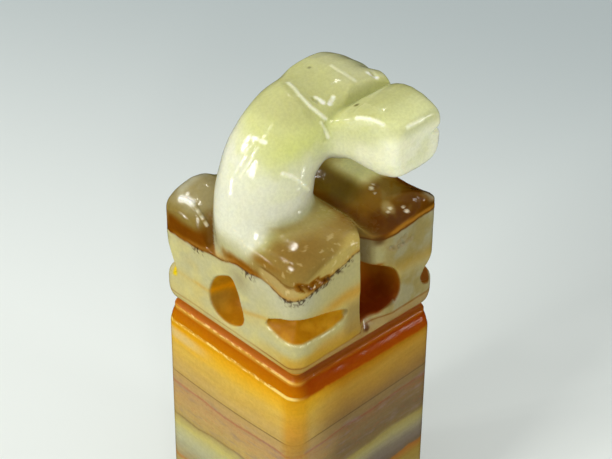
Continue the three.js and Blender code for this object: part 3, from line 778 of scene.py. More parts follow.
def stone_colour(x, y, z, nz):
    """Colour of the block and of the knob, as display values from 0 to 1."""
    n1, n2, n3 = clouds(x, y, z, 5.0), clouds(x + 40, y, z, 1.8), clouds(x, y + 40, z, 0.7)
    grain = clouds(x, y, z + 40, 0.3, 2)
    h = z - bed_top(x, y) + 0.25 * (n2 - 0.5) + 0.12 * (n3 - 0.5)
    inner = -square(x, y, HALF, EDGE_R)
    rightness = step(-9, -1, y) * step(6, 11, x)
    # white bed
    c = mix(np.broadcast_to(rgb(198, 190, 137), x.shape + (3,)), rgb(192, 187, 146), step(0.35, 0.7, n1))
    c = mix(c, rgb(214, 206, 140), 0.6 * step(0.45, 0.8, n2))
    c = mix(c, rgb(200, 182, 116), 0.55 * step(0.52, 0.75, n1) * step(-2, -6, x))
    c = mix(c, rgb(196, 193, 162), 0.7 * step(4.5, 0.5, -h) * step(0, 8, x) * (1 - rightness))
    c = mix(c, rgb(214, 196, 124), 0.6 * step(6.5, 4.2, z + 0.04 * x))
    c = mix(c, rgb(192, 182, 126), 0.8 * step(6, 11, x) * step(-11.5, -6, y))
    back_part = step(1.5, 4.5, y) * step(6, 11, x)
    c = mix(c, mix(np.broadcast_to(rgb(156, 140, 86), x.shape + (3,)), rgb(162, 154, 118), step(0.35, 0.6, n2)), 0.9 * back_part)
    c = mix(c, rgb(186, 182, 152), 0.65 * back_part * step(8.5, 11, y) * step(0.3, 0.55, n1))
    # warm stone towards the foot and beside the slot, and a duller patch by the left hollow
    c = mix(c, rgb(206, 178, 92), 0.7 * step(7.2, 5.4, z + 0.6 * (n2 - 0.5)) * step(3, 9, x) * (1 - rightness))
    c = mix(c, rgb(198, 154, 66), 0.75 * step(8.4, 6.0, z + 0.8 * (n2 - 0.5)) * step(-11, -7.5, y) * step(6, 11, x) * step(1.0, -1.0, y))
    c = mix(c, rgb(206, 158, 48), 0.6 * step(6.7, 5.2, z + 0.6 * (n2 - 0.5)) * step(8.5, 11.5, x) * step(-6, -9, y))
    c = mix(c, rgb(160, 132, 72), 0.7 * step(-4.8, -3.0, y) * step(6, 11, x) * step(1.5, 0, y) * step(12.5, 9.5, z))
    c = mix(c, rgb(168, 156, 110), 0.75 * np.exp(-(((x - 2.4) / 1.6) ** 2 + ((z - 13.4) / 1.7) ** 2)) * step(-10, -12, y))
    # yellow bed in the white
    zy = YELLOW_LEFT(x) + 0.13 * np.minimum(y + 12.5, 9) - 0.06 * np.maximum(y + 3.5, 0) + 0.8 * (n1 - 0.5)
    thick = 0.34 + 0.75 * step(9, 12.4, x)
    strength = 0.5 - 0.32 * step(-5, -7.5, x) + 0.35 * step(9, 12, x) * step(-9, -5, y) * step(1.5, -1, y)
    c = mix(c, mix(np.broadcast_to(rgb(206, 150, 52), x.shape + (3,)), rgb(164, 124, 36), back_part), strength * np.exp(-(((z - zy) / thick) ** 2)))
    c = mix(c, rgb(214, 190, 110), 0.35 * np.exp(-(((z - zy + 0.7) / 1.2) ** 2)))
    # thin brown line over the foot, and the warm stone under it
    zg = groove_level(x, y)
    zf = 4.55 + 0.8 * zg * step(9, 12, x) + 0.035 * (y + 12.5) + 0.02 * (x - 12.5) + 0.18 * (n2 - 0.5)
    c = mix(c, rgb(176, 146, 92), 0.75 * step(0.1, -0.3, z - zf) * step(4, 11, x + 0.3 * y))
    c = mix(c, rgb(140, 86, 36), 0.85 * np.exp(-(((z - zf) / 0.14) ** 2)) * (0.45 + 0.55 * step(3, 10, x)))
    deep = step(3.5, 2.95, z - zg)
    c = mix(c, rgb(192, 152, 50), 0.75 * step(1.7, 0.4, z - zf) * step(-0.1, 0.1, z - zf) * step(11.6, 12.3, x) * step(-11.5, -9.5, y) * step(-0.5, -3, y))
    c = mix(c, mix(np.broadcast_to(rgb(204, 128, 28), x.shape + (3,)), rgb(180, 114, 46), step(-12, -6, y)), deep)
    # cut surfaces inside the block: translucent amber, dark towards the right
    amber = mix(np.broadcast_to(rgb(180, 122, 12), x.shape + (3,)), rgb(200, 146, 28), step(0.4, 0.75, n2))
    amber = mix(amber, rgb(164, 100, 6), step(0.5, 0.8, n1) * 0.7)
    band = np.exp(-(((z - zy + 0.1) / 0.75) ** 2)) * step(-6, -10, y) * (np.abs(x) < 5)
    amber = mix(amber, rgb(222, 154, 10), band)
    amber = mix(amber, rgb(170, 140, 62), 0.6 * step(-1.2, -3.4, x) * step(-6, -9, y) * step(8.2, 7.0, z))
    dark = mix(np.broadcast_to(rgb(150, 88, 12), x.shape + (3,)), rgb(126, 46, 2), step(12, 6, z + 0.25 * y))
    dark = mix(dark, rgb(176, 118, 36), 0.4 * step(0.6, 0.85, n2))
    gold = step(3.0, 6.5, x) * step(-3.2, -2.0, y)
    amber = mix(amber, dark, gold)
    cut = step(0.12, 0.42, inner) * step(14.9, 14.2, z) * step(4.0, 4.6, z)
    pale = step(-6, -10, x) * step(-6, -10, y)
    slot = (x > 6) * (y > -4) * (y < 5)
    cut = np.where(slot, step(0.3, 0.8, inner) * step(13.6, 13.2, z) * step(5.0, 5.7, z), cut)
    c = mix(c, amber, cut * (1 - 0.85 * pale))
    shade = slot * step(0.6, 2.2, inner) * (1 - cut)
    c = mix(c, rgb(140, 120, 84), 0.65 * shade)
    spot = np.sqrt((x + 10.2) ** 2 + (y + 12.2) ** 2 + (z - 7.5) ** 2)
    c = mix(c, rgb(226, 196, 20), step(0.95, 0.45, spot))
    spot = np.sqrt(((x - 12.5) / 1.2) ** 2 + (y - 0.3) ** 2 + ((z - 4.2) / 0.8) ** 2) + 0.6 * (n3 - 0.5)
    c = mix(c, rgb(106, 66, 30), step(1.0, 0.5, spot))
    spot = np.sqrt(((x - 12.0) / 1.5) ** 2 + ((y - 10.8) / 1.15) ** 2 + ((z - 7.4) / 1.3) ** 2)
    c = mix(c, rgb(128, 74, 20), step(1.15, 0.95, spot))

    # knob: smoky brown stone
    top = 0.55 * step(0.8, 4.4, h) + 0.45 * step(1.2, 3.0, h) * step(-5.0, -9.0, x)
    k = mix(np.broadcast_to(rgb(140, 84, 6), x.shape + (3,)), rgb(166, 160, 112), top)
    k = mix(k, rgb(98, 54, 3), 0.9 * step(2.6, 0.5, h + 0.8 * (n2 - 0.5)))
    k = mix(k, rgb(160, 108, 20), 0.35 * np.exp(-(((h - 1.9) / 0.8) ** 2)) * step(0.35, 0.65, n1))
    k = mix(k, rgb(140, 108, 44), 0.35 * step(0.5, 0.75, n2))
    wd = worm(x, y, z, NECK).astype(float)
    kd = mix(np.broadcast_to(rgb(118, 66, 3), x.shape + (3,)), rgb(142, 122, 62), step(2.0, 3.6, h + 0.5 * (n2 - 0.5)))
    kd = mix(kd, rgb(162, 150, 106), step(3.6, 5.0, h + 0.6 * (n2 - 0.5)))
    kd = mix(kd, rgb(184, 179, 150), 0.85 * step(4.8, 5.7, h) * step(-9.0, -10.4, x))
    kd = mix(kd, rgb(128, 88, 26), 0.85 * step(1.9, 0.3, wd) * step(5.2, 3.4, h))
    k = mix(k, kd, step(-3.0, -4.2, x) * step(-5, -8, y))
    # painted highlight: a pale comma along the left coil's raised edge, near-white at its core
    dome_painted_highlight = step(0.95, 0.35, near_path(x, y, z, DOME_EDGE[:3])) * 0.45
    k = mix(k, rgb(216, 210, 184), dome_painted_highlight)
    k = mix(k, rgb(252, 250, 240), np.maximum(0.9 * step(0.62, 0.36, near_path(x, y, z, DOME_EDGE[:3])), 0.85 * step(0.3, 0.14, near_path(x, y, z, DOME_EDGE[2:]))))
    end = step(-10.4, -12.2, x) * step(-8, -11, y) * step(3.4, 2.0, h) * step(0.6, 1.4, h)
    k = mix(k, rgb(196, 168, 116), 0.8 * end)
    # right coil
    rc = step(2.5, 4.5, y) * step(21.5, 20.8, z)
    # right coil's top under the head: the stone's own colour, paler on its lit side as a painted sheen of reflected
    # light
    lit = step(5.7, 8.0, y + 0.6 * (h - 2.2)) * step(-4.5, 0.2, x)
    olive_and_sheen = mix(np.broadcast_to(rgb(142, 114, 34), x.shape + (3,)), rgb(255, 253, 184), lit * step(6.4, 4.0, x))
    brown = mix(np.broadcast_to(rgb(142, 102, 22), x.shape + (3,)), rgb(104, 62, 5), step(7, 11, x))
    brown = mix(brown, rgb(92, 50, 4), 0.5 * step(0.5, 0.75, n2))
    fold = clouds(1.1 * (x + y), 0.45 * (x - y), z, 1.5)
    brown = mix(brown, rgb(146, 122, 60), 0.7 * step(0.56, 0.72, fold) * step(12.0, 10.5, x))
    k = mix(k, mix(olive_and_sheen, brown, step(3.0, 6.5, x + 1.5 * (n2 - 0.5))), rc)
    k = mix(k, rgb(176, 124, 40), 0.85 * rc * step(11.7, 12.3, x) * step(1.0, 0.6, h) * step(0.1, 0.35, h))
    k = mix(k, rgb(86, 38, 1), 0.75 * rc * step(1.35, 0.7, h) * step(12.4, 12.1, x))
    k = mix(k, rgb(60, 32, 8), 0.85 * rc * step(0.45, 0.1, h) * step(12.3, 11.4, x))
    # painted highlights on the right coil: a pale soft patch and small near-white spots
    coil_painted_highlight = np.sqrt(((x - 9.2) / 1.15) ** 2 + ((y - 6.4) / 0.75) ** 2) + 0.5 * (n3 - 0.5)
    k = mix(k, rgb(196, 176, 120), 0.6 * rc * step(1.3, 0.4, coil_painted_highlight))
    for p, r in (((9.36, 6.5), 0.26), ((9.6, 5.95), 0.2), ((11.24, 7.62), 0.34), ((10.44, 7.75), 0.2), ((5.3, 7.3), 0.34), ((5.0, 7.9), 0.2), ((6.2, 7.0), 0.16)):
        k = mix(k, rgb(250, 246, 226), 0.85 * rc * step(r + 0.12, r - 0.1, np.hypot(x - p[0], (y - p[1]) * 1.3)) * (z > 17.6))
    # painted reflection: a grey patch at the coil's tip
    tip = np.sqrt((x - 12.0) ** 2 + ((y - 11.5) / 1.1) ** 2 + ((z - 20.0) / 0.8) ** 2) + 0.9 * (n2 - 0.5) + 0.4 * (n3 - 0.5)
    k = mix(k, rgb(186, 176, 146), 0.85 * step(1.75, 0.7, tip) * step(13.2, 12.0, y + 0.5 * (n2 - 0.5) + 0.25))
    # front lobe
    lobe = step(1.0, 4.0, x + 0.25 * (y + 12.5)) * step(21.9, 20.4, z) * step(3.0, 1.0, y)
    l = mix(np.broadcast_to(rgb(156, 130, 66), x.shape + (3,)), rgb(178, 170, 102), step(18.9, 20.6, z + 1.2 * (n2 - 0.5)) * step(9.5, 6.0, x))
    l = mix(l, rgb(144, 98, 28), 0.7 * np.exp(-(((z - 18.7 - 0.16 * (y + 12.5) + 0.5 * (n2 - 0.5)) / 0.5) ** 2)) * step(2.0, 5.0, x) * step(11.5, 8.0, x))
    dome = np.sqrt(((x - 9.3) / 2.6) ** 2 + ((y + 9.3) / 2.8) ** 2)
    l = mix(l, rgb(146, 116, 54), step(1.7, 0.5, dome + 0.5 * (n2 - 0.5)))
    l = mix(l, rgb(184, 180, 108), 0.75 * step(20.55, 21.1, z) * step(9.6, 6.6, x + 0.6 * (n2 - 0.5)))
    l = mix(l, rgb(202, 180, 104), 0.9 * step(2.6, 1.4, h - 0.12 * (y + 12.5)) * step(10.6, 12.0, x))
    l = mix(l, rgb(190, 167, 106), 0.8 * step(2.5, 1.8, h + 0.1 * np.abs(x - 9)) * step(5.6, 6.8, x) * step(-11.2, -12.2, y))
    edge = np.abs(h + 0.1 * np.abs(x - 9) - 2.2)
    l = mix(l, rgb(110, 70, 22), 0.6 * step(0.22, 0.08, edge) * step(5.6, 6.8, x) * step(-11.0, -12.0, y))
    k = mix(k, l, lobe)
    # neck and head: clear yellow-green, nearly white low down on the left
    reach = np.interp(x, [-3, 0], [0.12, 0.9])
    edge = x + 0.35 * (y + 8) + 0.8 * (n2 - 0.5) + 0.9 * np.clip(20 - z, 0, 4)
    neck = np.maximum(step(reach + 0.2 + 1.6 * step(0, 3, x), reach, wd) * step(6.6, 3.6, edge), step(21.0, 21.8, z))
    neck = neck * step(0.0, 0.5, h + 0.35 * (n3 - 0.5))
    t = z + 0.25 * x + 1.6 * (n1 - 0.5)
    g = mix(np.broadcast_to(rgb(226, 226, 203), x.shape + (3,)), rgb(230, 231, 206), step(24.0, 27.0, t))
    g = mix(g, rgb(218, 220, 156), step(27.5, 31.0, t))
    g = mix(g, rgb(211, 213, 143), step(31.5, 33.8, t))
    # the yellow-green stone made brighter at the throat: painted light coming through the stone
    g = mix(g, rgb(221, 226, 140), 0.65 * np.exp(-(((x - 3.4) / 1.8) ** 2 + ((z - 29.7) / 1.8) ** 2)))
    g = mix(g, rgb(166, 162, 98), 0.8 * step(23.4, 20.6, z + 0.8 * (n2 - 0.5)) * step(3.0, 6.2, x + 0.3 * (y + 8)))
    skull = step(31.0, 33.2, z) * step(4.2, 3.0, x)
    g = mix(g, rgb(200, 200, 141), 0.9 * skull)
    g = mix(g, rgb(210, 210, 164), 0.7 * skull * step(3.5, 8.0, y))
    muz = step(3.4, 6.5, x) * step(24, 25, z)
    g = mix(g, rgb(214, 216, 166), muz)
    # lower muzzle and nose front: whiter stone, made whiter still by painted light coming through the stone
    g = mix(g, rgb(240, 240, 208), muz * step(31.4, 28.4, z))
    g = mix(g, rgb(248, 248, 218), muz * step(9.0, 12.2, x) * step(32.5, 30.5, z))
    g = mix(g, mix(np.broadcast_to(rgb(197, 198, 136), x.shape + (3,)), rgb(224, 227, 170), step(7.5, 11.8, x)), 0.95 * muz * step(31.8, 32.8, z) * step(0.5, 0.85, nz))
    # painted shade: a darker line along the brow groove
    g = mix(g, rgb(186, 188, 116), 0.5 * step(0.9, 0.2, np.abs(x - 3.9)) * step(31.2, 32.2, z))
    g = mix(g, rgb(212, 215, 148), 0.25 * step(0.45, 0.75, n2) * step(25, 28, z))
    g = mix(g, rgb(240, 240, 214), 0.35 * step(0.55, 0.8, n1))
    # painted highlights: pale lines along the raised rims, the neck's streak and strokes and the muzzle's edges
    for path, r, a in ((RIM_NEAR, 0.3, 0.85), (RIM_CHEEK, 0.26, 0.8), (RIM_CREST, 0.3, 0.5), (STREAK, 0.34, 0.9), (MUZZLE_SIDE, 0.3, 0.9), (MUZZLE_NOSE, 0.32, 0.9), (STROKES[0], 0.17, 0.7), (STROKES[1], 0.17, 0.7)):
        g = mix(g, rgb(246, 247, 214), a * step(r + 0.12, r - 0.12, near_path(x, y, z, path)))
    # painted shade: the neck darker low down towards the bed and along its left edge
    g = mix(g, rgb(182, 176, 126), 0.85 * step(20.2, 17.0, z + 0.8 * (n2 - 0.5)))
    g = mix(g, rgb(198, 197, 168), 0.6 * step(-3.2, -5.2, x) * step(24, 20, z))
    # painted highlights: near-white dots on the neck and short strokes by the eyes
    for m, q in (((-0.81, -7.16, 30.57), (-0.3, -7.0, 30.62)), ((0.3, -6.87, 30.56), (0.8, -6.66, 30.5)), ((1.2, 1.3, 33.6), (2.15, 1.7, 33.1)), ((2.6, 2.3, 32.85), (2.35, 3.2, 33.4)), ((2.0, 9.4, 33.95), (3.1, 9.9, 33.5))):
        g = mix(g, rgb(252, 252, 234), 0.95 * step(0.4, 0.16, capsule(x, y, z, m, q, 0, 0)))
    k = mix(k, g, neck)
    # brown patch at the neck's foot
    patch = np.sqrt(((x - 2.6) / 3.4) ** 2 + ((z - 15.8) / 1.0) ** 2) + 0.8 * (n2 - 0.5) + 0.4 * (n3 - 0.5)
    k = mix(k, rgb(150, 112, 48), 0.6 * step(1.6, 0.8, patch) * step(-9, -11, y))
    k = mix(k, rgb(132, 74, 4), 0.85 * step(1.15, 0.35, patch) * step(-9, -11, y))
    k = mix(k, rgb(214, 166, 84), 0.6 * np.exp(-(((h - 0.45) / 0.3) ** 2)) * step(3.0, 0, x) * step(-8, -6.0, x) * 0.7)
    body = step(-0.06, 0.08, h)
    c = mix(c, k, body)
    # dark line along the bedding, with dendrites that grow down from it
    line = np.exp(-((h / 0.11) ** 2)) * (0.35 + 0.65 * step(0.4, 0.6, n2))
    wall = step(0.6, 0.15, inner)
    c = mix(c, rgb(190, 132, 48), 0.4 * np.exp(-(((h - 0.3) / 0.28) ** 2)) * step(0.35, 0.6, n1))
    c = mix(c, rgb(120, 62, 14), 0.8 * line)
    spots = [(4.0, -12.5), (11.0, -12.5), (12.4, -11.2), (12.5, -9.4), (12.5, -7.4), (12.5, -5.4), (12.5, -3.8), (-5.4, -12.5)]
    where = 0
    for sx, sy in spots:
        where = np.maximum(where, np.exp(-(((x - sx) ** 2 + (y - sy) ** 2) / 1.3)))
    twig = step(0.60, 0.68, grain + 0.16 * np.exp(-(((h + 0.2) / 0.35) ** 2)) + 0.08 * (where - 0.7))
    c = mix(c, rgb(58, 40, 28), 0.8 * twig * where * step(-1.3, -0.5, h) * step(0.35, 0.05, h) * wall)
    for path, r in PITS:
        d = near_path(x, y, z, path)
        c = mix(c, rgb(140, 84, 10), 0.9 * step(r + 0.3, r, d) * (h > -1.4) * (y < 0))
        # painted shade: dark centres in the pits
        c = mix(c, rgb(70, 34, 4), 0.9 * step(r + 0.02, r - 0.16, d) * step(0.6, 0.35, n3) * (y < 0))
        # painted highlights: white glints on the pits
        c = mix(c, rgb(255, 244, 200), 0.95 * step(r + 0.05, r - 0.1, d) * step(0.55, 0.63, n3) * (y < 0))
        c = mix(c, rgb(160, 140, 96), 0.7 * step(r + 0.2, r - 0.05, d) * (y > 0))
    c = mix(c, rgb(84, 50, 18), 0.75 * np.exp(-(((x - 11.7) / 0.9) ** 2 + ((y - 2.4) / 0.8) ** 2)) * step(15.9, 16.9, z) * step(18.0, 17.4, z))
    # fine dots
    dot = step(0.80, 0.86, clouds(x + 9, y + 9, z + 9, 0.42, 1))
    c = mix(c, rgb(250, 236, 190), 0.35 * dot * step(21.5, 20.5, z) * (h > 0.3) * (x > 0) * (y < 1))
    for p, r, a in (((5.2, 4.3, 33.1), 0.3, 0.75), ((-3.3, 4.5, 34.35), 0.24, 0.4)):
        d = np.sqrt((x - p[0]) ** 2 + (y - p[1]) ** 2 + (z - p[2]) ** 2)
        c = mix(c, rgb(88, 82, 42), a * step(r + 0.14, r - 0.1, d))
    depth = np.clip(0.45 + 1.7 * neck * body - 0.1 * (1 - neck) * body - 0.15 * cut, 0.3, 2.6)
    rub = np.clip(cut + deep + 0.6 * shade, 0, 1)
    swell = np.clip(0.55 + 0.1 * step(-3, -8, x) * step(21, 20, z) + 1.0 * lobe * body + 3.2 * rc * body * (1 - neck), 0.5, 4)
    # painted highlight: a pale broken line along the lower edge of the front corner cut
    cut_edge_painted_highlight = step(0.02, 0.06, inner) * step(0.2, 0.1, inner) * step(0.3, 0.6, nz) * step(10.5, 9.5, z) * step(6.0, 7.0, z) * step(4, 7, x) * step(-3, -5, y)
    c = mix(c, rgb(248, 244, 206), 0.85 * cut_edge_painted_highlight * step(0.42, 0.56, n3 + 0.1 * np.exp(-(((x + y) / 1.5) ** 2))))
    return np.clip(c, 0, 1), depth, rub, swell


GAIN = 0.93  # stone colours are read off lit surfaces; this is one over the light that they get


def paint(o):
    me = o.data
    co = np.empty(len(me.vertices) * 3)
    me.vertices.foreach_get("co", co)
    co = co.reshape(-1, 3) * 1000
    nm = np.empty(len(me.vertices) * 3)
    me.vertices.foreach_get("normal", nm)
    c, depth, rub, swell = stone_colour(co[:, 0], co[:, 1], co[:, 2] - LENGTH, nm.reshape(-1, 3)[:, 2])
    lin = np.clip(linear(c) * GAIN, 0.002, 0.93)
    a = me.color_attributes.new("tint", "FLOAT_COLOR", "POINT")
    a.data.foreach_set("color", np.hstack([lin, np.ones((len(lin), 1))]).ravel().astype(np.float32))
    a = me.attributes.new("depth", "FLOAT", "POINT")
    a.data.foreach_set("value", (depth * 0.001).astype(np.float32))
    a = me.attributes.new("rub", "FLOAT", "POINT")
    a.data.foreach_set("value", rub.astype(np.float32))
    a = me.attributes.new("swell", "FLOAT", "POINT")
    a.data.foreach_set("value", swell.astype(np.float32))


class Nodes:
    """Short hand for building a material's node tree."""

    def __init__(self, name):
        self.m = bpy.data.materials.new(name)
        self.m.use_nodes = True
        self.t = self.m.node_tree
        self.b = self.t.nodes["Principled BSDF"]

    def new(self, kind, props=(), **inputs):
        n = self.t.nodes.new(kind)
        for k, v in dict(props).items():
            setattr(n, k, v)
        for k, v in inputs.items():
            self.put(n.inputs[k.replace("_", " ")], v)
        return n

    def put(self, socket, v):
        if isinstance(v, bpy.types.NodeSocket):
            self.t.links.new(v, socket)
        else:
            socket.default_value = v

    def math(self, op, a, b=0.0, c=0.0, clamp=False):
        n = self.t.nodes.new("ShaderNodeMath")
        n.operation = op
        n.use_clamp = clamp
        for s, v in zip(n.inputs, (a, b, c)):
            self.put(s, v)
        return n.outputs[0]

    def span(self, v, a, b, lo=0.0, hi=1.0):
        n = self.new("ShaderNodeMapRange", {"interpolation_type": "SMOOTHSTEP"})
        for k, q in (("Value", v), ("From Min", a), ("From Max", b), ("To Min", lo), ("To Max", hi)):
            self.put(n.inputs[k], q)
        return n.outputs["Result"]

    def blend(self, f, a, b, mode="MIX"):
        n = self.t.nodes.new("ShaderNodeMix")
        n.data_type = "RGBA"
        n.blend_type = mode
        self.put(n.inputs[0], f)
        self.put(n.inputs[6], a)
        self.put(n.inputs[7], b)
        return n.outputs[2]

    def noise(self, vector, scale, detail=2.0, rough=0.5, dim="3D"):
        n = self.new("ShaderNodeTexNoise", {"noise_dimensions": dim})
        self.put(n.inputs["Vector"], vector)
        n.inputs["Scale"].default_value = scale
        n.inputs["Detail"].default_value = detail
        n.inputs["Roughness"].default_value = rough
        return n.outputs["Fac"]

    def ramp(self, f, stops, interpolation="LINEAR"):
        n = self.t.nodes.new("ShaderNodeValToRGB")
        n.color_ramp.interpolation = interpolation
        e = n.color_ramp.elements
        while len(e) < len(stops):
            e.new(0.5)
        for s, (p, c) in zip(e, stops):
            s.position = p
            s.color = c
        self.put(n.inputs["Fac"], f)
        return n.outputs["Color"]

    def place(self, scale=(1000, 1000, 1000)):
        """Position in millimetres, and its parts."""
        tc = self.t.nodes.new("ShaderNodeTexCoord")
        n = self.t.nodes.new("ShaderNodeVectorMath")
        n.operation = "MULTIPLY_ADD"
        self.put(n.inputs[0], tc.outputs["Object"])
        n.inputs[1].default_value = scale
        n.inputs[2].default_value = (0, 0, -LENGTH)
        s = self.t.nodes.new("ShaderNodeSeparateXYZ")
        self.put(s.inputs[0], n.outputs[0])
        return n.outputs[0], s.outputs["X"], s.outputs["Y"], s.outputs["Z"]


def gloss(w, p, base, rough, colour_noise, bump, depth, radius, swell, rub):
    """Polished stone: fine mottling, uneven polish, faint rubbing marks."""
    fine = w.noise(p, 2.6, 4.0, 0.6)
    k = w.span(fine, 0.3, 0.7, 1 - colour_noise, 1 + colour_noise)
    mott = w.new("ShaderNodeVectorMath", {"operation": "SCALE"})
    w.put(mott.inputs[0], base)
    w.put(mott.inputs["Scale"], k)
    w.put(w.b.inputs["Base Color"], mott.outputs[0])
    r = w.noise(p, 0.55, 3.0, 0.55)
    w.put(w.b.inputs["Roughness"], w.math("ADD", w.span(r, 0.35, 0.68, rough * 0.75, rough * 1.5), w.math("MULTIPLY", rub, 0.3)))
    w.put(w.b.inputs["Specular IOR Level"], w.span(rub, 0.0, 1.0, 0.5, 0.12))
    w.b.inputs["Subsurface Weight"].default_value = 1.0
    w.b.inputs["Subsurface Radius"].default_value = radius
    w.put(w.b.inputs["Subsurface Scale"], depth)
    w.b.inputs["IOR"].default_value = 1.46
    bn = w.new("ShaderNodeBump")
    scratch = w.math("MULTIPLY", w.noise(p, 7.0, 3.0, 0.6), 0.035)
    w.put(bn.inputs["Height"], w.math("ADD", scratch, w.math("MULTIPLY", w.noise(p, 0.3, 1.0, 0.4), swell)))
    bn.inputs["Strength"].default_value = bump
    bn.inputs["Distance"].default_value = 0.0001
    w.put(w.b.inputs["Normal"], bn.outputs["Normal"])


# Block and knob
w = Nodes("carved_onyx")
p, px, py, pz = w.place()
tint = w.new("ShaderNodeAttribute", {"attribute_name": "tint"}).outputs["Color"]
depth = w.new("ShaderNodeAttribute", {"attribute_name": "depth"}).outputs["Fac"]
rub = w.new("ShaderNodeAttribute", {"attribute_name": "rub"}).outputs["Fac"]
gloss(w, p, tint, 0.1, 0.05, 1.0, depth, (1.0, 0.9, 0.6), w.new("ShaderNodeAttribute", {"attribute_name": "swell"}).outputs["Fac"], rub)
for name in ("carved_block", "snake_knob"):
    paint(PIECES[name])
    PIECES[name].data.materials.append(w.m)


# Column
def shade(r, g, b, gain=GAIN):
    c = np.clip(linear(rgb(r, g, b)) * gain, 0.002, 0.93)
    return (*c.tolist(), 1.0)


# Bed colours by height on the column's left and right faces: partly the stone's own beds, partly painted light and
# shade, the left lighter as lit and the right darker as in shade
LEFT_BEDS_LIT = [
    (3.0, (216, 160, 24)), (0.0, (220, 160, 22)), (-1.0, (222, 168, 34)), (-2.5, (218, 174, 56)),
    (-3.8, (208, 172, 80)), (-5.5, (200, 166, 82)), (-7.2, (192, 162, 94)), (-8.1, (188, 158, 90)), (-8.25, (140, 112, 70)), (-8.4, (182, 152, 94)),
    (-9.9, (182, 152, 100)), (-10.2, (178, 120, 84)), (-10.5, (180, 146, 98)), (-12.5, (184, 153, 98)), (-15.4, (181, 156, 94)),
    (-15.8, (150, 128, 80)), (-16.1, (176, 158, 98)), (-17.3, (190, 178, 108)), (-18.4, (182, 176, 126)), (-19.8, (180, 176, 137)), (-20.8, (170, 165, 128)),
    (-22.8, (164, 148, 106)), (-23.3, (182, 128, 66)), (-24.0, (170, 150, 92)), (-28.5, (196, 178, 118)), (-29.2, (150, 104, 54)), (-33.5, (176, 132, 74)), (-34.2, (206, 190, 140)), (-38.5, (210, 192, 140)), (-42.0, (190, 150, 88)),
]
RIGHT_BEDS_SHADED = [
    (3.0, (178, 112, 12)), (-0.6, (180, 116, 14)), (-2.0, (186, 132, 30)),
    (-3.5, (190, 148, 60)), (-5.5, (178, 138, 64)), (-7.5, (156, 122, 70)), (-8.1, (152, 120, 72)), (-8.25, (112, 88, 60)), (-8.4, (150, 124, 80)),
    (-9.9, (146, 122, 82)), (-10.2, (150, 96, 72)), (-10.5, (144, 114, 78)), (-12.5, (138, 116, 80)), (-14.0, (128, 108, 78)),
    (-15.6, (136, 116, 76)), (-16.3, (168, 152, 90)), (-17.3, (172, 162, 108)), (-18.3, (156, 146, 116)), (-19.3, (136, 124, 106)), (-20.5, (128, 114, 98)),
    (-21.4, (122, 106, 82)), (-21.9, (170, 112, 52)), (-23.4, (164, 138, 66)), (-28.5, (176, 156, 96)), (-29.2, (134, 92, 50)), (-33.5, (160, 118, 66)), (-34.2, (190, 172, 124)), (-38.5, (194, 174, 122)), (-42.0, (170, 132, 76)),
]


def stops(table, gain=GAIN):
    out = [((b + 42.0) / 45.0, shade(*c, gain)) for b, c in table]
    return sorted(out, key=lambda s: s[0])


w = Nodes("banded_onyx")
p, px, py, pz = w.place()
d = w.math("SUBTRACT", 12.5, px)
rise = w.math("ADD", w.math("MULTIPLY", w.math("MULTIPLY", d, d), 0.004), w.math("MULTIPLY", d, -0.155))
rise = w.math("ADD", rise, w.math("MULTIPLY", w.math("ADD", py, 12.5), 0.02))
b0 = w.math("SUBTRACT", pz, rise)
wav = w.math("SUBTRACT", w.noise(p, 0.13, 2.0, 0.5), 0.5)
wav2 = w.math("SUBTRACT", w.noise(p, 0.6, 2.0, 0.5), 0.5)
soft = w.math("MULTIPLY", w.span(w.math("ABSOLUTE", w.math("ADD", b0, 8.25)), 0.2, 2.5), w.span(b0, -1.0, -5.0, 0.12, 1.0))
bw = w.math("ADD", b0, w.math("MULTIPLY", soft, w.math("ADD", w.math("MULTIPLY", wav, 2.2), w.math("MULTIPLY", wav2, 0.45))))
fac = w.math("DIVIDE", w.math("ADD", bw, 42.0), 45.0, clamp=True)
# left face lit, right face in shade: painted light and shade on the bed colours, with gains 1.12 and 0.95
left = w.ramp(fac, stops(LEFT_BEDS_LIT, 1.12 * GAIN))
right = w.ramp(fac, stops(RIGHT_BEDS_SHADED, 0.95 * GAIN))
reach = w.math("SQRT", w.math("ADD", w.math("MULTIPLY", d, d), w.math("POWER", w.math("ADD", py, 12.5), 2.0)))
zg = w.math("ADD", pz, w.math("MULTIPLY", reach, 0.03))  # height over the groove's own level
lit_to_shaded_side = w.span(w.math("ADD", py, w.math("MULTIPLY", wav, 5.0)), -11.5, -4.0)
base = w.blend(lit_to_shaded_side, left, right)
# painted light showing through the front corner, and the deeper orange of the shoulder
corner_painted_light = w.math("MULTIPLY", w.span(reach, 3.2, 1.2), w.span(b0, -16.0, -8.0))
base = w.blend(w.math("MULTIPLY", corner_painted_light, 0.8), base, w.ramp(fac, stops([(3.0, (214, 150, 12)), (-3.0, (214, 160, 28)), (-6.5, (206, 150, 50)), (-9.0, (184, 138, 52)), (-16.0, (176, 132, 60))])))
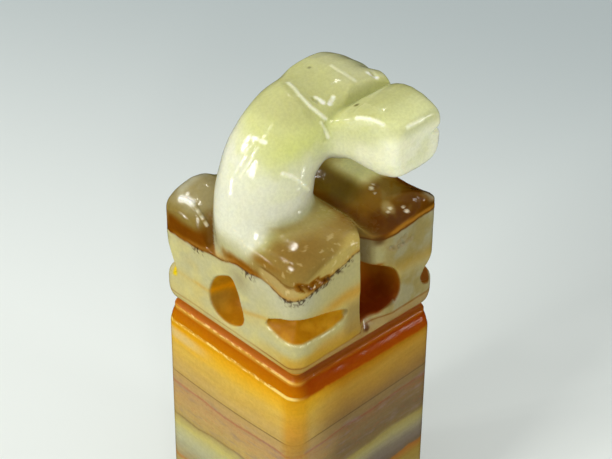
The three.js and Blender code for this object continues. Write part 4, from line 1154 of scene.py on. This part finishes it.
# shoulder colours: golden on the left and dark red on the right, partly painted light and shade; the paler stops at the
# two ridges are painted highlights
rim_l = w.ramp(w.math("DIVIDE", w.math("ADD", zg, 3.0), 6.0, clamp=True), [(k / 6.0, shade(*c)) for k, c in
    ((0.0, (214, 160, 24)), (2.1, (214, 156, 20)), (2.4, (224, 178, 66)), (2.75, (196, 122, 6)), (4.1, (184, 104, 4)), (4.6, (220, 168, 60)), (4.95, (188, 108, 8)), (5.3, (174, 94, 8)), (5.8, (166, 88, 8)))])
rim_r = w.ramp(w.math("DIVIDE", w.math("ADD", zg, 3.0), 6.0, clamp=True), [(k / 6.0, shade(*c)) for k, c in
    ((0.0, (180, 116, 14)), (1.9, (172, 98, 4)), (2.5, (166, 76, 2)), (4.2, (158, 66, 1)), (4.6, (164, 88, 14)), (4.9, (156, 86, 22)), (5.6, (140, 74, 24)))])
# painted highlights: pale glints along the two ridges of the shoulder
gl_v = w.t.nodes.new("ShaderNodeCombineXYZ")
w.put(gl_v.inputs[0], w.math("MULTIPLY", w.math("ADD", px, py), 0.75))
w.put(gl_v.inputs[2], w.math("MULTIPLY", pz, 2.6))
highlight_breakup = w.noise(gl_v.outputs[0], 1.0, 2.0, 0.6)
line1 = w.span(w.math("ABSOLUTE", w.math("SUBTRACT", zg, 1.72)), 0.26, 0.08)
line2 = w.span(w.math("ABSOLUTE", w.math("ADD", zg, 0.52)), 0.3, 0.1)
shoulder_painted_highlight = w.math("MULTIPLY", w.math("MAXIMUM", line1, line2), w.span(w.math("ADD", highlight_breakup, w.span(reach, 9.0, 0.5, 0.0, 0.24)), 0.5, 0.62))
shoulder_painted_highlight = w.math("MULTIPLY", shoulder_painted_highlight, w.math("ADD", w.span(py, -11.3, -12.2), 0.0, clamp=True))
shoulder = w.span(w.math("ADD", zg, w.math("MULTIPLY", wav2, 0.5)), -1.0, -0.45)
base = w.blend(shoulder, base, w.blend(w.span(py, -12.0, -9.5), rim_l, rim_r))
base = w.blend(w.math("MULTIPLY", shoulder_painted_highlight, 0.85), base, shade(250, 222, 130))
# fine laminations along the beds
lam_v = w.t.nodes.new("ShaderNodeCombineXYZ")
w.put(lam_v.inputs[0], w.math("MULTIPLY", px, 0.16))
w.put(lam_v.inputs[1], w.math("MULTIPLY", py, 0.16))
w.put(lam_v.inputs[2], w.math("MULTIPLY", b0, 1.6))
lam = w.noise(lam_v.outputs[0], 1.0, 5.0, 0.65)
below = w.span(b0, -0.5, -3.0)
k = w.math("ADD", 1.0, w.math("MULTIPLY", w.math("MULTIPLY", w.math("SUBTRACT", lam, 0.5), 0.34), below))
sc = w.new("ShaderNodeVectorMath", {"operation": "SCALE"})
w.put(sc.inputs[0], base)
w.put(sc.inputs["Scale"], k)
base = sc.outputs[0]
# lilac-grey and reddish streaks under the dark line
zone = w.math("MULTIPLY", w.span(b0, -8.6, -10.0), w.span(b0, -16.5, -14.5))
lam_w = w.t.nodes.new("ShaderNodeCombineXYZ")
w.put(lam_w.inputs[0], w.math("MULTIPLY", px, 0.25))
w.put(lam_w.inputs[1], w.math("MULTIPLY", py, 0.25))
w.put(lam_w.inputs[2], w.math("ADD", w.math("MULTIPLY", b0, 1.1), 31.0))
streak = w.noise(lam_w.outputs[0], 1.0, 3.0, 0.6)
base = w.blend(w.math("MULTIPLY", zone, w.span(streak, 0.5, 0.72, 0.0, 0.5)), base, shade(150, 128, 120))
base = w.blend(w.math("MULTIPLY", zone, w.span(w.math("ABSOLUTE", w.math("SUBTRACT", streak, 0.44)), 0.01, 0.0, 0.0, 0.4)), base, shade(186, 92, 70))
# whitish haze in the amber bed on the left
haze = w.math("MULTIPLY", w.span(w.math("ABSOLUTE", w.math("ADD", b0, 1.6)), 1.3, 0.2), w.span(px, -2.0, -9.0))
base = w.blend(w.math("MULTIPLY", haze, 0.5), base, shade(214, 202, 160))
gloss(w, p, base, 0.12, 0.05, 1.0, 0.0005, (1.0, 0.8, 0.45), w.span(zg, -1.2, -0.7, 0.3, 1.8), w.span(zg, 1.7, 2.1))
for name, _, _, _ in COLUMN:
    PIECES[name].data.materials.append(w.m)


# ---------------------------------------------------------------------------------------------------------
# Stage, light and camera.
def node(nt, kind, **props):
    n = nt.nodes.new(kind)
    for k, v in props.items():
        if k in n.inputs.keys():
            n.inputs[k].default_value = v
        else:
            setattr(n, k, v)
    return n


floor_mesh = bpy.data.meshes.new("floor")
fb = bmesh.new()
bmesh.ops.create_grid(fb, x_segments=8, y_segments=8, size=2.5)
fb.to_mesh(floor_mesh)
fb.free()
floor = bpy.data.objects.new("floor", floor_mesh)
bpy.context.scene.collection.objects.link(floor)
floor.location.z = -0.0002
m = bpy.data.materials.new("pale_floor")
m.use_nodes = True
nt = m.node_tree
bsdf = nt.nodes["Principled BSDF"]
bsdf.inputs["Roughness"].default_value = 0.75
bsdf.inputs["Specular IOR Level"].default_value = 0.0
# painted light: the floor fades from pale at the front to grey-blue at the back, for the fall-off of the light
tc = nt.nodes.new("ShaderNodeTexCoord")
sep = nt.nodes.new("ShaderNodeSeparateXYZ")
nt.links.new(tc.outputs["Object"], sep.inputs[0])
a = nt.nodes.new("ShaderNodeMath")
a.operation = "SUBTRACT"
nt.links.new(sep.outputs["Y"], a.inputs[0])
nt.links.new(sep.outputs["X"], a.inputs[1])
mr = nt.nodes.new("ShaderNodeMapRange")
mr.inputs["From Min"].default_value = 0.02
mr.inputs["From Max"].default_value = 0.24
across = nt.nodes.new("ShaderNodeMath")
across.operation = "ADD"
nt.links.new(sep.outputs["X"], across.inputs[0])
nt.links.new(sep.outputs["Y"], across.inputs[1])
lean = nt.nodes.new("ShaderNodeMath")
lean.operation = "MULTIPLY_ADD"
lean.inputs[1].default_value = 0.28
nt.links.new(across.outputs[0], lean.inputs[0])
nt.links.new(a.outputs[0], lean.inputs[2])
nt.links.new(lean.outputs[0], mr.inputs["Value"])
ramp = nt.nodes.new("ShaderNodeValToRGB")
ramp.color_ramp.interpolation = "EASE"
ramp.color_ramp.elements[0].color = (0.84, 0.885, 0.85, 1)
ramp.color_ramp.elements[1].color = (0.47, 0.53, 0.535, 1)
nt.links.new(mr.outputs["Result"], ramp.inputs["Fac"])
nt.links.new(ramp.outputs["Color"], bsdf.inputs["Base Color"])
floor_mesh.materials.append(m)

MIDDLE = Vector((0, 0, 0.055))


def area(name, azimuth, elevation, distance, size, energy, color=(1, 1, 1), size_y=None, spread=180):
    d = bpy.data.lights.new(name, "AREA")
    d.shape = "RECTANGLE" if size_y else "SQUARE"
    d.size = size
    if size_y:
        d.size_y = size_y
    d.energy = energy
    d.color = color
    d.spread = math.radians(spread)
    o = bpy.data.objects.new(name, d)
    bpy.context.scene.collection.objects.link(o)
    a, e = math.radians(azimuth), math.radians(elevation)
    v = Vector((math.cos(e) * math.cos(a), math.cos(e) * math.sin(a), math.sin(e)))
    o.location = MIDDLE + v * distance
    o.rotation_euler = v.to_track_quat("Z", "Y").to_euler()
    return o


area("soft_left", -87, 34, 0.8, 0.23, 2.6, (1.0, 0.985, 0.95), size_y=0.19)
area("soft_left_high", -97, 56, 0.85, 0.08, 0.42, (1.0, 0.985, 0.95), size_y=0.06)
for azimuth in (-116.5, -120.5):
    area("strip_left", azimuth, 46, 0.85, 0.014, 0.24, (1.0, 0.99, 0.96), size_y=0.15)
area("soft_rear_left", -142, 30, 0.9, 0.13, 1.3, (0.98, 0.99, 1.0), size_y=0.15)
area("ceiling", 152, 61, 0.9, 0.07, 0.6, (1.0, 0.99, 0.96), size_y=0.12)
ceiling_right = area("ceiling_right", 125, 66, 0.9, 0.06, 0.5, (1.0, 0.99, 0.96), size_y=0.08)
ceiling_right.visible_glossy = False
front_light = area("front", -36, 32, 0.9, 0.05, 0.4, (1.0, 0.99, 0.96), size_y=0.05)
right_fill = area("right_fill", 16, 12, 0.5, 0.1, 0.36, (1.0, 0.99, 0.97))
right_fill.visible_glossy = False
area("left_low", -125, 1, 0.5, 0.06, 0.16, (1.0, 0.99, 0.97), size_y=0.05)
area("right_floor", 38, -6, 0.3, 0.03, 0.05, (1.0, 0.99, 0.97), size_y=0.05)
big = area("big_soft", -45, 66, 1.4, 1.3, 3.05, (1.0, 0.99, 0.965))
big.visible_glossy = False
front_light.visible_glossy = False
floor.visible_glossy = False

world = bpy.data.worlds.new("studio")
bpy.context.scene.world = world
world.use_nodes = True
bg = world.node_tree.nodes["Background"]
bg.inputs["Color"].default_value = (0.97, 0.99, 1.0, 1)
bg.inputs["Strength"].default_value = 0.34
world.cycles_visibility.glossy = False

cam_data = bpy.data.cameras.new("camera")
cam_data.sensor_fit = "HORIZONTAL"
cam_data.sensor_width = 36.0
cam_data.lens = 124.82
cam_data.clip_start = 0.01
cam_data.clip_end = 20
cam = bpy.data.objects.new("camera", cam_data)
bpy.context.scene.collection.objects.link(cam)
right, upv, back = (0.68867, 0.72502, 0.00878), (-0.44805, 0.41600, 0.79133), (0.57008, -0.54890, 0.61133)
cam.matrix_world = Matrix(
    ((right[0], upv[0], back[0], 0.153949), (right[1], upv[1], back[1], -0.147151), (right[2], upv[2], back[2], 0.219888), (0, 0, 0, 1))
)
bpy.context.scene.camera = cam
bpy.context.scene.view_settings.view_transform = "Standard"
